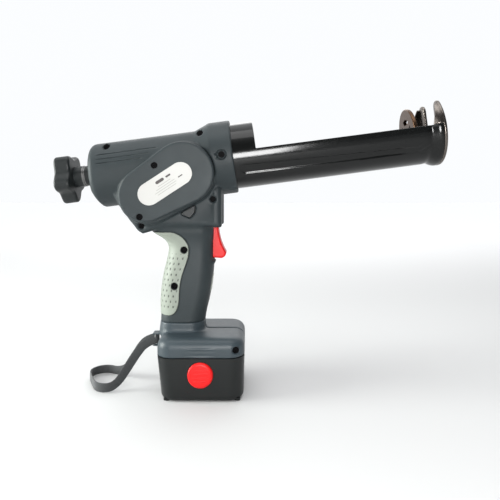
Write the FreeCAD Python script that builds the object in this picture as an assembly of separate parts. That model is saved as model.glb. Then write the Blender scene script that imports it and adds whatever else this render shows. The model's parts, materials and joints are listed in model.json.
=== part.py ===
import FreeCAD, Part
import math
import os

# Cordless caulking gun standing on its battery; one STEP file for each piece.
# Part frame, in millimetres: +Z up, +X towards the nozzle, gear cover on the -Y side,
# origin at the centre of the battery's base. Pieces in line with the barrel are drawn in the
# barrel frame (x along the rod's axis, z square to it) and placed with tilt().

V = FreeCAD.Vector

# ---- driving dimensions ----
TILT = 7.5              # rise of the barrel towards the nozzle, degrees
AXIS_Z = 212.4          # height of the rod's axis over the origin
WALL = 2.4              # moulded walls
SEAM = 0.1              # gap between pieces that are screwed together
FIT = 0.02              # radial clearance of pins, bushes and screws in their holes
RUN = 0.05              # radial clearance of running fits
CLEAR = 0.3             # clearance between pieces that move past each other

# Battery
PACK_H = 38.2
PACK_BASE = (-35.2, 38.1, 36.2)     # rear, front and half width at the base
PACK_TOP = (-38.9, 38.9, 37.8)      # the same at the parting line
PACK_CORNER = 13.5
PACK_EDGE = 5.0
CELL_R = 7.1
CELL_LEN = 50.0
CELL_GAP = 0.3
STEM = (-34.5, -3.5, 9.5)           # rear, front and half width of the stem
STEM_TOP = 88.0
LID_H = 4.3
LID_OVER = 1.7                      # height of the lid over the case's rim
BUTTON_X, BUTTON_Z, BUTTON_R = 0.5, 23.9, 11.2
BUTTON_PROUD = 2.0
BUTTON_STROKE = 3.0
BUTTON_RIBS = 5

# Foot and strap lug
FOOT_BASE = PACK_H + 0.3
FOOT_TOP = 55.1
FOOT_ROUND = 9.0
FOOT_SPLIT = 63.7                   # parting line between the foot and the grip
LENS_Z, LENS_HALF, LENS_HIGH, LENS_DEEP = 43.1, 15.0, 3.1, 1.1
LUG_X, LUG_PIN_R, LUG_EAR, LUG_GAP = -44.6, 1.5, 1.4, 0.5
STRAP_W, STRAP_T = 8.4, 1.4
STRAP_Z = 44.6

# Grip: height, rear x, front x and half width of each section
GRIP = [
    (45.0, -38.8, 2.2, 17.0),
    (63.7, -39.4, 1.9, 17.2),
    (80.2, -39.2, 5.2, 17.8),
    (94.6, -38.2, 7.9, 18.0),
    (107.0, -36.4, 9.4, 18.0),
    (118.0, -33.8, 10.1, 17.8),
    (127.0, -31.9, 10.2, 17.6),
    (134.0, -32.2, 10.2, 17.8),
    (140.5, -37.5, 10.4, 18.8),
    (148.0, -47.0, 10.6, 20.4),
    (157.0, -52.0, 10.8, 21.4),
]
GRIP_CORNER = 13.5
INSERT_PROUD, INSERT_DEEP = 0.4, 1.2
INSERT_EDGE = [
    (-62.0, 146.9), (-29.1, 146.9), (-18.2, 142.7), (-12.3, 134.0), (-13.2, 120.5),
    (-17.8, 107.0), (-20.2, 92.0), (-21.3, 79.5), (-24.2, 73.2), (-31.5, 70.2), (-62.0, 71.2),
]
STRIP = (90.3, 105.5, 6.0)          # low and high ends and half width of the front strip

# Throat between the grip and the barrel, and its half width
THROAT = [
    (17.4, 192.0), (17.4, 151.8), (-31.0, 151.8), (-53.0, 145.4), (-58.2, 148.6),
    (-75.3, 171.9), (-80.5, 183.0), (-76.0, 192.0),
]
THROAT_REAR = 5                     # corner of the outline where its rear edge starts
THROAT_HALF = 24.0

# Barrel housing, in the barrel frame
TUBE_R, TUBE_DROP = 28.4, 3.1       # radius, and how much deeper the section is than round
TUBE_REAR = -102.5
TUBE_SLOPE = (-14.0, 6.3)           # the lower rear corner is cut from this height, this far in
COLLAR_R, COLLAR_REAR, COLLAR_FRONT = 34.2, 9.5, 29.1
SHOULDER = -4.2
BULKHEAD, BULKHEAD_T = 3.5, 2.5
CARTRIDGE_R = 26.5                  # recess for the cartridge's rear rim

# Gear case and cover, in the barrel frame
CASE_1, CASE_2 = (-16.6, -10.3), (-50.9, -25.1)
COVER_R1, COVER_R2 = 27.7, 23.8
CASE_OVER_1, CASE_OVER_2 = 1.2, 3.2
CASE_HALF = 29.0
COVER_FACE = 39.0
COVER_WALL = 2.0
LABEL_ENDS, LABEL_R, LABEL_T = ((-47.3, -24.6), (-17.9, -10.5)), 9.9, 0.25

# Carriage
CARRIAGE_R, CARRIAGE_T = 30.5, 1.6
SLEEVE_START, SLEEVE_END, TROUGH_END = 11.9, 49.9, 207.0
PLATE_S, PLATE_T = 216.5, 3.0
TROUGH_EDGE = 3.4
PLATE_R, SLOT_HALF = 33.2, 12.9

# Rod and what is on it
MODULE = 1.0
ADDENDUM, DEDENDUM = 0.75, 1.0
BACKLASH = 0.2
RACK_TEETH = 66
RACK_START = -22.0
PINION_TEETH = 13
GEAR_TEETH, DRIVE_TEETH = 40, 24
ROD_HALF, RACK_DROP = 4.5, 3.8      # half section, and depth of the rack's pitch line
ROD_REAR, ROD_FRONT = -110.8, 193.7
STUB_R, STUB_END = 4.0, -133.0
BUSH_NOSE = 8.0                     # how far the rear bush stands out of the tube
STUD_R = 3.0
PUSHER_R, PUSHER_T = 23.0, 3.5
KNOB_MEAN, KNOB_WAVE, KNOB_LOBES = 20.6, 2.8, 5
KNOB_REAR, KNOB_RIM, KNOB_FACE, KNOB_HUB = -135.5, -120.8, -113.2, 9.8
STROKE = 185.0

# Drive
SHAFT_R, BUSH_R = 4.0, 6.0
GEAR_W, GEAR_OUT = 5.0, 35.2        # face width, and the outer face's distance from the middle
PLATE_W = 2.0
MOTOR_R, GEARBOX_END, MOTOR_END = 15.0, 10.0, 21.0
DRIVE_SHAFT_R = 3.0

# Trigger, switch and lock
TRIGGER_PIN = (6.3, 155.9)
TRIGGER_BACK, TRIGGER_HALF, TRIGGER_LOW = 9.6, 7.6, 121.2
PIN_R = 1.5
SWITCH = (-25.0, -1.0, 8.9, 136.0, 150.5)
PLUNGER_Z, PLUNGER_R = 143.0, 2.2
LOCK = [(-5.2, 171.6), (-6.0, 164.7), (-10.0, 160.0), (-17.5, 163.2), (-17.5, 164.6)]
LOCK_SPRING_AT = (-10.6, 164.6)
LOCK_PROUD, LOCK_STROKE = 1.4, 2.5

# Screws along Y: x, z and the distance of the near face from the middle
BOSS_R, SCREW_R, HEAD_R, HEAD_T, HEAD_SUNK = 4.2, 1.5, 2.8, 2.2, 2.4
HOUSING_SCREWS = [
    (-53.8, 152.6, 24.0), (-87.5, 224.4, 16.2), (-1.8, 236.7, 16.8),
    (11.0, 176.8, 24.0), (-16.1, 130.3, 17.6), (-24.8, 97.3, 18.0),
]
FOOT_SCREW = (31.4, 45.1, 37.4)
COVER_SCREWS = [(-39.7, -0.5), (-58.2, -43.3)]
COVER_BOSS_R = 3.3
COLLAR_SCREW = (19.1, 1.5)

ANGLE = math.radians(TILT)
PINION_R = PINION_TEETH * MODULE / 2
SHAFT_AT = (CASE_1[0], -RACK_DROP - PINION_R)
PAIR = (GEAR_TEETH + DRIVE_TEETH) * MODULE / 2
LEAN = math.atan2(CASE_2[1] - CASE_1[1], CASE_2[0] - CASE_1[0])
MOTOR_AT = (SHAFT_AT[0] + PAIR * math.cos(LEAN), SHAFT_AT[1] + PAIR * math.sin(LEAN))


# ---- helpers ----
def tilt(shape):
    """Puts a shape drawn in the barrel frame into the part frame."""
    moved = shape.copy()
    moved.rotate(V(0, 0, 0), V(0, 1, 0), -TILT)
    moved.translate(V(0, 0, AXIS_Z))
    return moved


def from_barrel(s, z):
    """The x and z in the part frame of a point of the barrel frame."""
    return (s * math.cos(ANGLE) - z * math.sin(ANGLE),
            AXIS_Z + s * math.sin(ANGLE) + z * math.cos(ANGLE))


def box(x0, x1, y0, y1, z0, z1):
    return Part.makeBox(x1 - x0, y1 - y0, z1 - z0, V(x0, y0, z0))


def cyl_x(r, x0, x1, y=0.0, z=0.0):
    return Part.makeCylinder(r, x1 - x0, V(x0, y, z), V(1, 0, 0))


def cyl_y(r, y0, y1, x=0.0, z=0.0):
    return Part.makeCylinder(r, y1 - y0, V(x, y0, z), V(0, 1, 0))


def cyl_z(r, z0, z1, x=0.0, y=0.0):
    return Part.makeCylinder(r, z1 - z0, V(x, y, z0), V(0, 0, 1))


def join(shapes):
    whole = shapes[0].fuse(list(shapes[1:])) if len(shapes) > 1 else shapes[0]
    return whole.removeSplitter()


def group(shapes):
    """Separate solids kept in one node."""
    return Part.makeCompound([s for shape in shapes for s in shape.Solids])


def rounded(x0, x1, half, r, z):
    """Outline of a rounded rectangle at height z."""
    r = min(r, half - 0.2, (x1 - x0) / 2 - 0.2)
    k = r * (1 - math.sqrt(0.5))
    a, b, c, d = x0, x1, -half, half
    edges = [
        Part.LineSegment(V(a + r, c, z), V(b - r, c, z)),
        Part.Arc(V(b - r, c, z), V(b - k, c + k, z), V(b, c + r, z)),
        Part.LineSegment(V(b, c + r, z), V(b, d - r, z)),
        Part.Arc(V(b, d - r, z), V(b - k, d - k, z), V(b - r, d, z)),
        Part.LineSegment(V(b - r, d, z), V(a + r, d, z)),
        Part.Arc(V(a + r, d, z), V(a + k, d - k, z), V(a, d - r, z)),
        Part.LineSegment(V(a, d - r, z), V(a, c + r, z)),
        Part.Arc(V(a, c + r, z), V(a + k, c + k, z), V(a + r, c, z)),
    ]
    return Part.Wire([e.toShape() for e in edges])


def slab(x0, x1, half, r, z0, z1):
    return Part.Face(rounded(x0, x1, half, r, z0)).extrude(V(0, 0, z1 - z0))


def hull(c1, r1, c2, r2, y0, y1):
    """Prism along Y over the outline that wraps two circles."""
    dx, dz = c2[0] - c1[0], c2[1] - c1[1]
    far = math.hypot(dx, dz)
    lean, open_by = math.atan2(dz, dx), math.acos((r1 - r2) / far)

    def at(c, r, angle):
        return V(c[0] + r * math.cos(angle), y0, c[1] + r * math.sin(angle))

    up, down = lean + open_by, lean - open_by
    edges = [
        Part.Arc(at(c1, r1, up), at(c1, r1, lean + math.pi), at(c1, r1, down)),
        Part.LineSegment(at(c1, r1, down), at(c2, r2, down)),
        Part.Arc(at(c2, r2, down), at(c2, r2, lean), at(c2, r2, up)),
        Part.LineSegment(at(c2, r2, up), at(c1, r1, up)),
    ]
    return Part.Face(Part.Wire([e.toShape() for e in edges])).extrude(V(0, y1 - y0, 0))


def prism(points, half):
    """Prism along Y over a polygon in X and Z."""
    corners = [V(x, -half, z) for x, z in points]
    return Part.Face(Part.makePolygon(corners + corners[:1])).extrude(V(0, 2 * half, 0))


def spread(points, by):
    """Corners of a convex outline, listed clockwise, with each side moved out."""
    moved = []
    for i, (x, z) in enumerate(points):
        sides = [(points[i - 1], points[i]), (points[i], points[(i + 1) % len(points)])]
        normals = []
        for a, b in sides:
            far = math.hypot(b[0] - a[0], b[1] - a[1])
            normals.append((-(b[1] - a[1]) / far, (b[0] - a[0]) / far))
        (ax, az), (bx, bz) = normals
        share = by / (1 + ax * bx + az * bz)
        moved.append((x + (ax + bx) * share, z + (az + bz) * share))
    return moved


def plate_y(points, y0, y1):
    """Plate between two distances along Y over a polygon in X and Z."""
    corners = [V(x, y0, z) for x, z in points]
    return Part.Face(Part.makePolygon(corners + corners[:1])).extrude(V(0, y1 - y0, 0))


def near_side(shape):
    return shape.common(box(-400, 400, -200, 0, -100, 500))


def far_side(shape):
    return shape.common(box(-400, 400, 0, 200, -100, 500))


def ring(r_out, r_in, x0, x1):
    return cyl_x(r_out, x0, x1).cut(cyl_x(r_in, x0 - 1, x1 + 1))


def involute(base, r):
    """Polar angle of an involute at radius r."""
    t = math.sqrt(max((r / base) ** 2 - 1, 0.0))
    return t - math.atan(t)


def gear(teeth, y0, y1, centre, first):
    """Spur gear with a tooth centred at the angle first."""
    pitch = teeth * MODULE / 2
    tip, root, base = pitch + ADDENDUM, pitch - DEDENDUM, pitch * math.cos(math.radians(20))
    half = (math.pi * MODULE - BACKLASH) / 4 / pitch + involute(base, pitch)
    low = max(base, root)
    radii = [low + (tip - low) * i / 3 for i in range(4)]
    flank = [(r, half - involute(base, r)) for r in radii]
    if root < base:
        flank.insert(0, (root, half))
    points = []
    for i in range(teeth):
        middle = first + 2 * math.pi * i / teeth
        side = [(r, middle - a) for r, a in flank] + [(r, middle + a) for r, a in flank[::-1]]
        points += [V(centre[0] + r * math.cos(a), y0, centre[1] + r * math.sin(a)) for r, a in side]
    return Part.Face(Part.makePolygon(points + points[:1])).extrude(V(0, y1 - y0, 0))


def path(points):
    """Straight runs joined by tangent arcs, with the arcs' radii."""
    runs = [(b - a).Length for a, b in zip(points, points[1:])]
    start, edges, radii = points[0], [], []
    for i in range(1, len(points) - 1):
        back = (points[i - 1] - points[i]).normalize()
        on = (points[i + 1] - points[i]).normalize()
        half = (math.pi - back.getAngle(on)) / 2
        cut = 0.45 * min(runs[i - 1], runs[i])
        radii.append(cut / math.tan(half))
        first, last = points[i] + back * cut, points[i] + on * cut
        bisector = (back + on).normalize()
        centre = points[i] + bisector * (cut / math.sin(half))
        middle = centre - bisector * radii[-1]
        edges += [Part.LineSegment(start, first), Part.Arc(first, middle, last)]
        start = last
    edges.append(Part.LineSegment(start, points[-1]))
    return Part.Wire([e.toShape() for e in edges]), radii


def wire_lead(points, r):
    route, _ = path([V(*p) for p in points])
    heading = V(*points[1]) - V(*points[0])
    section = Part.Wire([Part.Circle(V(*points[0]), heading, r).toShape()])
    return route.makePipeShell([section], True, False)


def coil(r, wire_r, length, turns, at, axis):
    """Compression spring from the point at, along axis."""
    pitch = (length - 2 * wire_r) / turns
    helix = Part.makeHelix(pitch, length - 2 * wire_r, r)
    section = Part.Wire([Part.Circle(V(r, 0, 0), V(0, 1, 0), wire_r).toShape()])
    spring = helix.makePipeShell([section], True, True)
    spring.translate(V(0, 0, wire_r))
    spring.Placement = FreeCAD.Placement(at, FreeCAD.Rotation(V(0, 0, 1), axis)).multiply(spring.Placement)
    return spring


def screw(x, z, seat, length, side=-1):
    """Countersunk-head screw along Y, its head's outer face at the distance seat."""
    y = sorted([side * seat, side * (seat - HEAD_T)])
    head = cyl_y(HEAD_R, y[0], y[1], x, z).cut(cyl_y(1.2, side * seat - 0.9, side * seat + 0.9, x, z))
    y = sorted([side * (seat - HEAD_T + 0.5), side * (seat - length)])
    return head.fuse(cyl_y(SCREW_R, y[0], y[1], x, z))


def screw_cuts(x, z, face):
    """(what is cut from the near half, what is cut from the far half) for a screw along Y."""
    seat = face - HEAD_SUNK - HEAD_T
    sink = cyl_y(HEAD_R + 0.2, -face - 9, -seat, x, z)
    return sink.fuse(cyl_y(SCREW_R + 0.15, -seat - 1, 1, x, z)), cyl_y(SCREW_R + FIT, -1, 12.5, x, z)


# ---- battery ----
def pack_section(z, inset):
    share = z / PACK_H
    rear, front, half = (a + (b - a) * share for a, b in zip(PACK_BASE, PACK_TOP))
    return rounded(rear + inset, front - inset, half - inset, PACK_CORNER - inset, z)


def pack_body(z0, z1, inset):
    return Part.makeLoft([pack_section(z0, inset), pack_section(z1, inset)], True, True)


def pack_screw_places():
    return [(x, y) for x in (PACK_BASE[0] + 5.5, PACK_BASE[1] - 5.5) for y in (-30.6, 30.6)]


def battery_case():
    body = pack_body(0.0, PACK_H, 0.0)
    base = [e for e in body.Edges if abs(e.BoundBox.ZMax) < 0.01]
    body = body.makeFillet(PACK_EDGE, base)
    shell = body.cut(pack_body(WALL, PACK_H + 1, WALL))
    rib_y = CELL_LEN / 2 + 0.4
    for side in (-1, 1):
        y = sorted([side * rib_y, side * (rib_y + 1.4)])
        shell = shell.fuse(box(BUTTON_X - 9, BUTTON_X + 9, y[0], y[1], WALL - 0.2, 31.0))
    for x, y in pack_screw_places():
        shell = shell.fuse(cyl_z(3.2, WALL - 0.2, PACK_H - LID_H + 1.5, x, y))
    shell = shell.common(body)
    for x, y in pack_screw_places():
        shell = shell.cut(cyl_z(SCREW_R + 0.1, -1, PACK_H, x, y))
        shell = shell.cut(cyl_z(HEAD_R + 0.2, -1, HEAD_T + 0.3, x, y))
    hole = cyl_y(BUTTON_R + CLEAR, -60, 60, BUTTON_X, BUTTON_Z)
    middle = box(-60, 60, -rib_y - 2, rib_y + 2, -1, 60)
    return shell.cut(hole.cut(middle)).removeSplitter()


def battery_lid():
    rim = WALL + 0.15
    low = PACK_H - LID_H + LID_OVER
    plate = slab(PACK_TOP[0] + WALL + 0.4, PACK_TOP[1] - WALL - 0.4, PACK_TOP[2] - WALL - 0.4,
                 PACK_CORNER - WALL, low, PACK_H + LID_OVER)
    plate = plate.common(pack_body(low - 1, PACK_H + 5, rim))
    stem = slab(*STEM, 9.0, PACK_H, STEM_TOP)
    cavity = slab(STEM[0] + 0.9, STEM[1] - 0.9, CELL_R + 0.25, 7.0, low - 1, STEM_TOP - 1.6)
    lid = join([plate, stem]).cut(cavity)
    for side in (-1, 1):
        y = sorted([side * (PACK_BASE[2] - WALL - 5.4), side * 40])
        lid = lid.cut(box(BUTTON_X - 7, BUTTON_X + 7, y[0], y[1], low - 1, low + 1.8))
    for x, y in pack_screw_places():
        lid = lid.cut(cyl_z(SCREW_R + FIT, low - 1, low + 2.5, x, y))
    return lid


def battery_cells():
    pitch = 2 * CELL_R + 0.5
    cells = []
    for row in (0, 1):
        for column in range(4):
            x, z = pitch * (column - 1.5), WALL + CELL_GAP + CELL_R + row * pitch
            cells.append(cyl_y(CELL_R, -CELL_LEN / 2, CELL_LEN / 2, x, z))
    middle = (STEM[0] + STEM[1]) / 2
    for side in (-1, 1):
        cells.append(cyl_z(CELL_R, STEM_TOP - 2.0 - CELL_LEN, STEM_TOP - 2.0, middle + side * 7.3, 0))
    return group(cells)


def battery_contacts():
    return group([box(-15.0, -8.0, y - 0.4, y + 0.4, STEM_TOP, STEM_TOP + 5.5) for y in (-5.0, 5.0)])


def battery_screws():
    top = PACK_H - LID_H + LID_OVER + 2.2
    screws = []
    for x, y in pack_screw_places():
        screws.append(cyl_z(HEAD_R, 0.2, HEAD_T + 0.2, x, y).fuse(cyl_z(SCREW_R, HEAD_T, top, x, y)))
    return group(screws)


def release_button(side):
    """Round button with ridges and a flange behind the case's wall."""
    face = PACK_BASE[2] + (PACK_TOP[2] - PACK_BASE[2]) * BUTTON_Z / PACK_H
    inner = PACK_BASE[2] - WALL - 0.6
    outer = face + BUTTON_PROUD
    cap = cyl_y(BUTTON_R, inner - 0.5, outer, BUTTON_X, BUTTON_Z)
    cap = cap.makeFillet(1.4, [e for e in cap.Edges if e.BoundBox.YMin > outer - 0.01])
    for i in range(BUTTON_RIBS):
        z = BUTTON_Z + (i - (BUTTON_RIBS - 1) / 2) * 3.0
        half = math.sqrt((BUTTON_R - 2.6) ** 2 - (z - BUTTON_Z) ** 2)
        cap = cap.fuse(box(BUTTON_X - half, BUTTON_X + half, outer - 0.6, outer + 0.5, z - 0.6, z + 0.6))
    flange = cyl_y(BUTTON_R + 1.6, inner - 1.4, inner, BUTTON_X, BUTTON_Z)
    cap = cap.fuse(flange).removeSplitter()
    return cap if side > 0 else cap.mirror(V(0, 0, 0), V(0, 1, 0))


def button_spring(side):
    start = CELL_LEN / 2 + 1.9
    end = PACK_BASE[2] - WALL - 2.1
    at = V(BUTTON_X, side * start, BUTTON_Z)
    return coil(4.6, 0.4, end - start, 2, at, V(0, side, 0))


# ---- foot and strap ----
def grip_sections(inset, low=0.0, high=999.0):
    rows = [g for g in GRIP if low <= g[0] <= high]
    return [rounded(r + inset, f - inset, h - inset, GRIP_CORNER - inset, z) for z, r, f, h in rows]


def grip_body(inset):
    return Part.makeLoft(grip_sections(inset), True, False)


def foot_shell():
    rear, front, half = PACK_TOP
    body = slab(rear, front, half, PACK_CORNER, FOOT_BASE, FOOT_TOP)
    body = body.makeFillet(FOOT_ROUND, [e for e in body.Edges if e.BoundBox.ZMin > FOOT_TOP - 0.01])
    stub = grip_body(0.0).common(box(-60, 60, -40, 40, FOOT_BASE + 12, FOOT_SPLIT - SEAM))
    body = join([body, stub])
    ears = [box(LUG_X - 2.6, rear + WALL - 0.2, -5.2, 5.2, z, z + LUG_EAR)
            for z in (STRAP_Z - STRAP_W / 2 - LUG_GAP - LUG_EAR, STRAP_Z + STRAP_W / 2 + LUG_GAP)]
    hollow = slab(rear + WALL, front - WALL, half - WALL, PACK_CORNER - WALL, FOOT_BASE - 1, FOOT_TOP - FOOT_ROUND + 2)
    dome = slab(rear + 8, front - 8, half - 8, 8.0, FOOT_BASE, FOOT_TOP - WALL)
    well = grip_body(WALL).common(box(-60, 60, -40, 40, FOOT_BASE + 8, FOOT_SPLIT + 1))
    shell = body.cut(hollow).cut(dome).cut(well)
    spigot = grip_body(WALL + 0.1).cut(grip_body(WALL + 1.2))
    spigot = spigot.common(box(-60, 60, -40, 40, FOOT_TOP, FOOT_SPLIT + 5))
    root = grip_body(WALL - 0.5).cut(grip_body(WALL + 1.2))
    root = root.common(box(-60, 60, -40, 40, FOOT_TOP - 2, FOOT_SPLIT - 2))
    x, z, _ = FOOT_SCREW
    boss = cyl_y(BOSS_R - 0.6, -60, 60, x, z).common(body)
    shell = shell.fuse([root, spigot, boss] + ears)
    lens_r = (LENS_HALF ** 2 + LENS_DEEP ** 2) / 2 / LENS_DEEP
    for side in (-1, 1):
        lens = cyl_z(lens_r, LENS_Z - LENS_HIGH, LENS_Z + LENS_HIGH, 0, side * (half + lens_r - LENS_DEEP))
        shell = shell.cut(lens)
    low = STRAP_Z - STRAP_W / 2 - LUG_GAP - LUG_EAR
    return shell.cut(cyl_z(LUG_PIN_R + FIT, low - 1, low + strap_pin_length() + 0.1, LUG_X, 0))


def foot_halves():
    shell = foot_shell()
    near_cut, far_cut = screw_cuts(*FOOT_SCREW)
    return near_side(shell).cut(near_cut), far_side(shell).cut(far_cut)


def strap_pin_length():
    return STRAP_W + 2 * LUG_GAP + 2 * LUG_EAR - 0.7


def strap_pin():
    low = STRAP_Z - STRAP_W / 2 - LUG_GAP - LUG_EAR
    return cyl_z(LUG_PIN_R, low, low + strap_pin_length(), LUG_X, 0)


STRAP_ROUTE = [
    (-45.0, 2.4, 44.6), (-53.0, 3.2, 43.0), (-61.5, 6.0, 34.0), (-68.5, 10.5, 21.5),
    (-76.5, 17.0, 9.5), (-86.5, 24.5, 4.6), (-95.5, 30.1, 4.3), (-103.5, 29.7, 4.3),
    (-109.8, 24.8, 4.3), (-112.1, 17.1, 4.3), (-109.6, 9.5, 4.3), (-104.5, -1.5, 4.3),
    (-98.5, -12.3, 4.3), (-91.6, -16.3, 4.3), (-83.6, -15.6, 4.4), (-77.3, -10.9, 8.0),
    (-70.5, -7.0, 18.5), (-62.5, -4.8, 31.5), (-54.5, -3.4, 41.5), (-45.0, -2.4, 44.6),
]


def wrist_strap():
    points = [V(*p) for p in STRAP_ROUTE]
    route, radii = path(points)
    heading = (points[1] - points[0]).normalize()
    across = heading.cross(V(0, 0, 1)).normalize() * (STRAP_T / 2)
    up = V(0, 0, STRAP_W / 2)
    corners = [points[0] + across + up, points[0] + across - up,
               points[0] - across - up, points[0] - across + up]
    section = Part.makePolygon(corners + corners[:1])
    pipe = Part.BRepOffsetAPI.MakePipeShell(route)
    pipe.setBiNormalMode(V(0, 0, 1))
    pipe.add(section, False, False)
    pipe.build()
    pipe.makeSolid()
    strap = Part.Solid(pipe.shape()) if pipe.shape().ShapeType == "Shell" else pipe.shape()
    print("strap length %.1f, smallest radius %.1f" % (route.Length, min(radii)))
    print("strap radii", [round(r, 1) for r in radii])
    print("strap volume share %.3f" % (strap.Volume / (route.Length * STRAP_T * STRAP_W)))
    return strap


# ---- housing ----
def tube_body(inset, x0, x1):
    r = TUBE_R - inset
    round_top = cyl_x(r, x0, x1)
    return round_top.fuse([cyl_x(r, x0, x1, 0, -TUBE_DROP), box(x0, x1, -r, r, -TUBE_DROP, 0)])


def rear_cut(inset):
    """Wedge that slopes the lower rear corner of the tube."""
    drop, run = TUBE_SLOPE
    x, low = TUBE_REAR + inset, -TUBE_R - TUBE_DROP
    return prism([(x - 20, drop), (x, drop), (x + run, low), (x + run, low - 20), (x - 20, low - 20)], 60)


def case_body(inset, half):
    return hull(CASE_1, COVER_R1 + CASE_OVER_1 - inset, CASE_2, COVER_R2 + CASE_OVER_2 - inset, -half, half)


def housing_outer():
    tube = tube_body(0.0, TUBE_REAR, COLLAR_REAR).removeSplitter()
    tube = tube.makeFillet(6.0, [e for e in tube.Edges if e.BoundBox.XMax < TUBE_REAR + 0.01])
    tube = tube.cut(rear_cut(0.0))
    shoulder = Part.makeCone(TUBE_R, COLLAR_R, COLLAR_REAR - SHOULDER, V(SHOULDER, 0, 0), V(1, 0, 0))
    collar = cyl_x(COLLAR_R, COLLAR_REAR, COLLAR_FRONT)
    collar = collar.makeFillet(1.0, [e for e in collar.Edges if e.BoundBox.XMin > COLLAR_FRONT - 0.01])
    case = case_body(0.0, CASE_HALF)
    case = case.makeFillet(3.0, [e for e in case.Edges if abs(abs(e.CenterOfMass.y) - CASE_HALF) < 0.01])
    upper = tilt(tube.fuse([shoulder, collar, case]))
    throat = prism(THROAT, THROAT_HALF)
    nose = [e for e in throat.Edges
            if abs(abs(e.CenterOfMass.y) - THROAT_HALF) < 0.01 and e.CenterOfMass.z < 189]
    throat = throat.makeFillet(4.0, nose)
    grip = grip_body(0.0).common(box(-80, 60, -40, 40, FOOT_SPLIT, 156))
    return join([upper, throat, grip])


def housing_inner():
    tube = tube_body(WALL, TUBE_REAR + WALL, BULKHEAD).cut(rear_cut(WALL))
    case = case_body(WALL, CASE_HALF - WALL).cut(box(BULKHEAD, 60, -60, 60, -90, 60))
    recess = cyl_x(CARTRIDGE_R, BULKHEAD + BULKHEAD_T, SLEEVE_START)
    bore = cyl_x(CARRIAGE_R + SEAM, SLEEVE_START - SEAM, COLLAR_FRONT + 1)
    upper = tilt(join([tube, case]).fuse([recess, bore]))
    front, rear, low = THROAT[0][0] - WALL, THROAT[THROAT_REAR][0] + WALL + 0.8, THROAT[1][1] + WALL
    points = [(front, 174.0), (front, low), (-31.5, low), (-52.4, 148.1), (-56.0, 150.6),
              (rear, 171.4), (-58.0, 186.0), (-9.0, 186.0), (-6.0, 174.0)]
    throat = prism(points, THROAT_HALF - WALL)
    grip = grip_body(WALL).common(box(-80, 60, -40, 40, FOOT_SPLIT - 1, 156))
    return join([upper, throat, grip])


def housing_fittings(outer):
    """Bosses, ribs and seats inside the housing."""
    added = [cyl_y(BOSS_R, -60, 60, x, z) for x, z, _ in HOUSING_SCREWS]
    rear_seat = cyl_x(BUSH_R + 5.5, TUBE_REAR + 1, TUBE_REAR + 8)
    far_seat = cyl_y(BUSH_R + 2.5, CASE_HALF - 9.5, CASE_HALF - 1, *SHAFT_AT)
    cover_bosses = [cyl_y(COVER_BOSS_R, -CASE_HALF + 1, -16, *c) for c in COVER_SCREWS]
    motor_rest = box(MOTOR_AT[0] - 10, MOTOR_AT[0] + 8, -8.0, -5.0, MOTOR_AT[1] - 34, MOTOR_AT[1] - MOTOR_R - 0.1)
    added += [tilt(s) for s in [rear_seat, far_seat, motor_rest] + cover_bosses]
    x0, x1, half, z0, z1 = SWITCH
    for side in (-1, 1):
        y = sorted([side * (half + 0.1), side * 40])
        added.append(box(x0 + 3, x0 + 6, y[0], y[1], z0, z1))
        y = sorted([side * (TRIGGER_HALF + 0.5), side * 23])
        added.append(cyl_y(3.4, y[0], y[1], *TRIGGER_PIN))
        y = sorted([side * 13.1, side * 40])
        added.append(box(-17, -3, y[0], y[1], STEM_TOP + 4, STEM_TOP + 9))
    stop = CASE_HALF - 15.0
    low, high = min(z for x, z in LOCK) - 1, max(z for x, z in LOCK) + 1
    added.append(box(LOCK[-1][0] - 1, THROAT[0][0] - 1, -stop, -stop + 1.4, low, high))
    return [s.common(outer) for s in added]


def insert_region():
    front = Part.BSplineCurve()
    front.interpolate([V(x, -40, z) for x, z in INSERT_EDGE[1:-1]])
    ends = [V(x, -40, z) for x, z in (INSERT_EDGE[0], INSERT_EDGE[1], INSERT_EDGE[-2], INSERT_EDGE[-1])]
    rest = [Part.LineSegment(ends[0], ends[1]), front, Part.LineSegment(ends[2], ends[3]),
            Part.LineSegment(ends[3], ends[0])]
    return Part.Face(Part.Wire([e.toShape() for e in rest])).extrude(V(0, 80, 0))


def strip_region():
    low, high, half = STRIP
    return box(0, 30, -half, half, low, high)


def soft_layer(region, over, deep):
    skin = grip_body(-over).cut(grip_body(deep))
    return skin.common(region).common(box(-80, 60, -40, 40, FOOT_SPLIT, 150))


def soft_inserts():
    throat = prism(THROAT, THROAT_HALF + 1)
    layer = soft_layer(insert_region(), INSERT_PROUD, INSERT_DEEP - FIT).cut(throat)
    holes = [cyl_y(HEAD_R + 0.3, -40, -1, x, z) for x, z, _ in HOUSING_SCREWS[-2:]]
    return near_side(layer).cut(holes), far_side(layer)


def trigger_slot():
    x, z = TRIGGER_PIN
    return box(x - 4.8, THROAT[0][0] - WALL, -TRIGGER_HALF - 0.5, TRIGGER_HALF + 0.5, TRIGGER_LOW - 1.6, z + 0.5)


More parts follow.
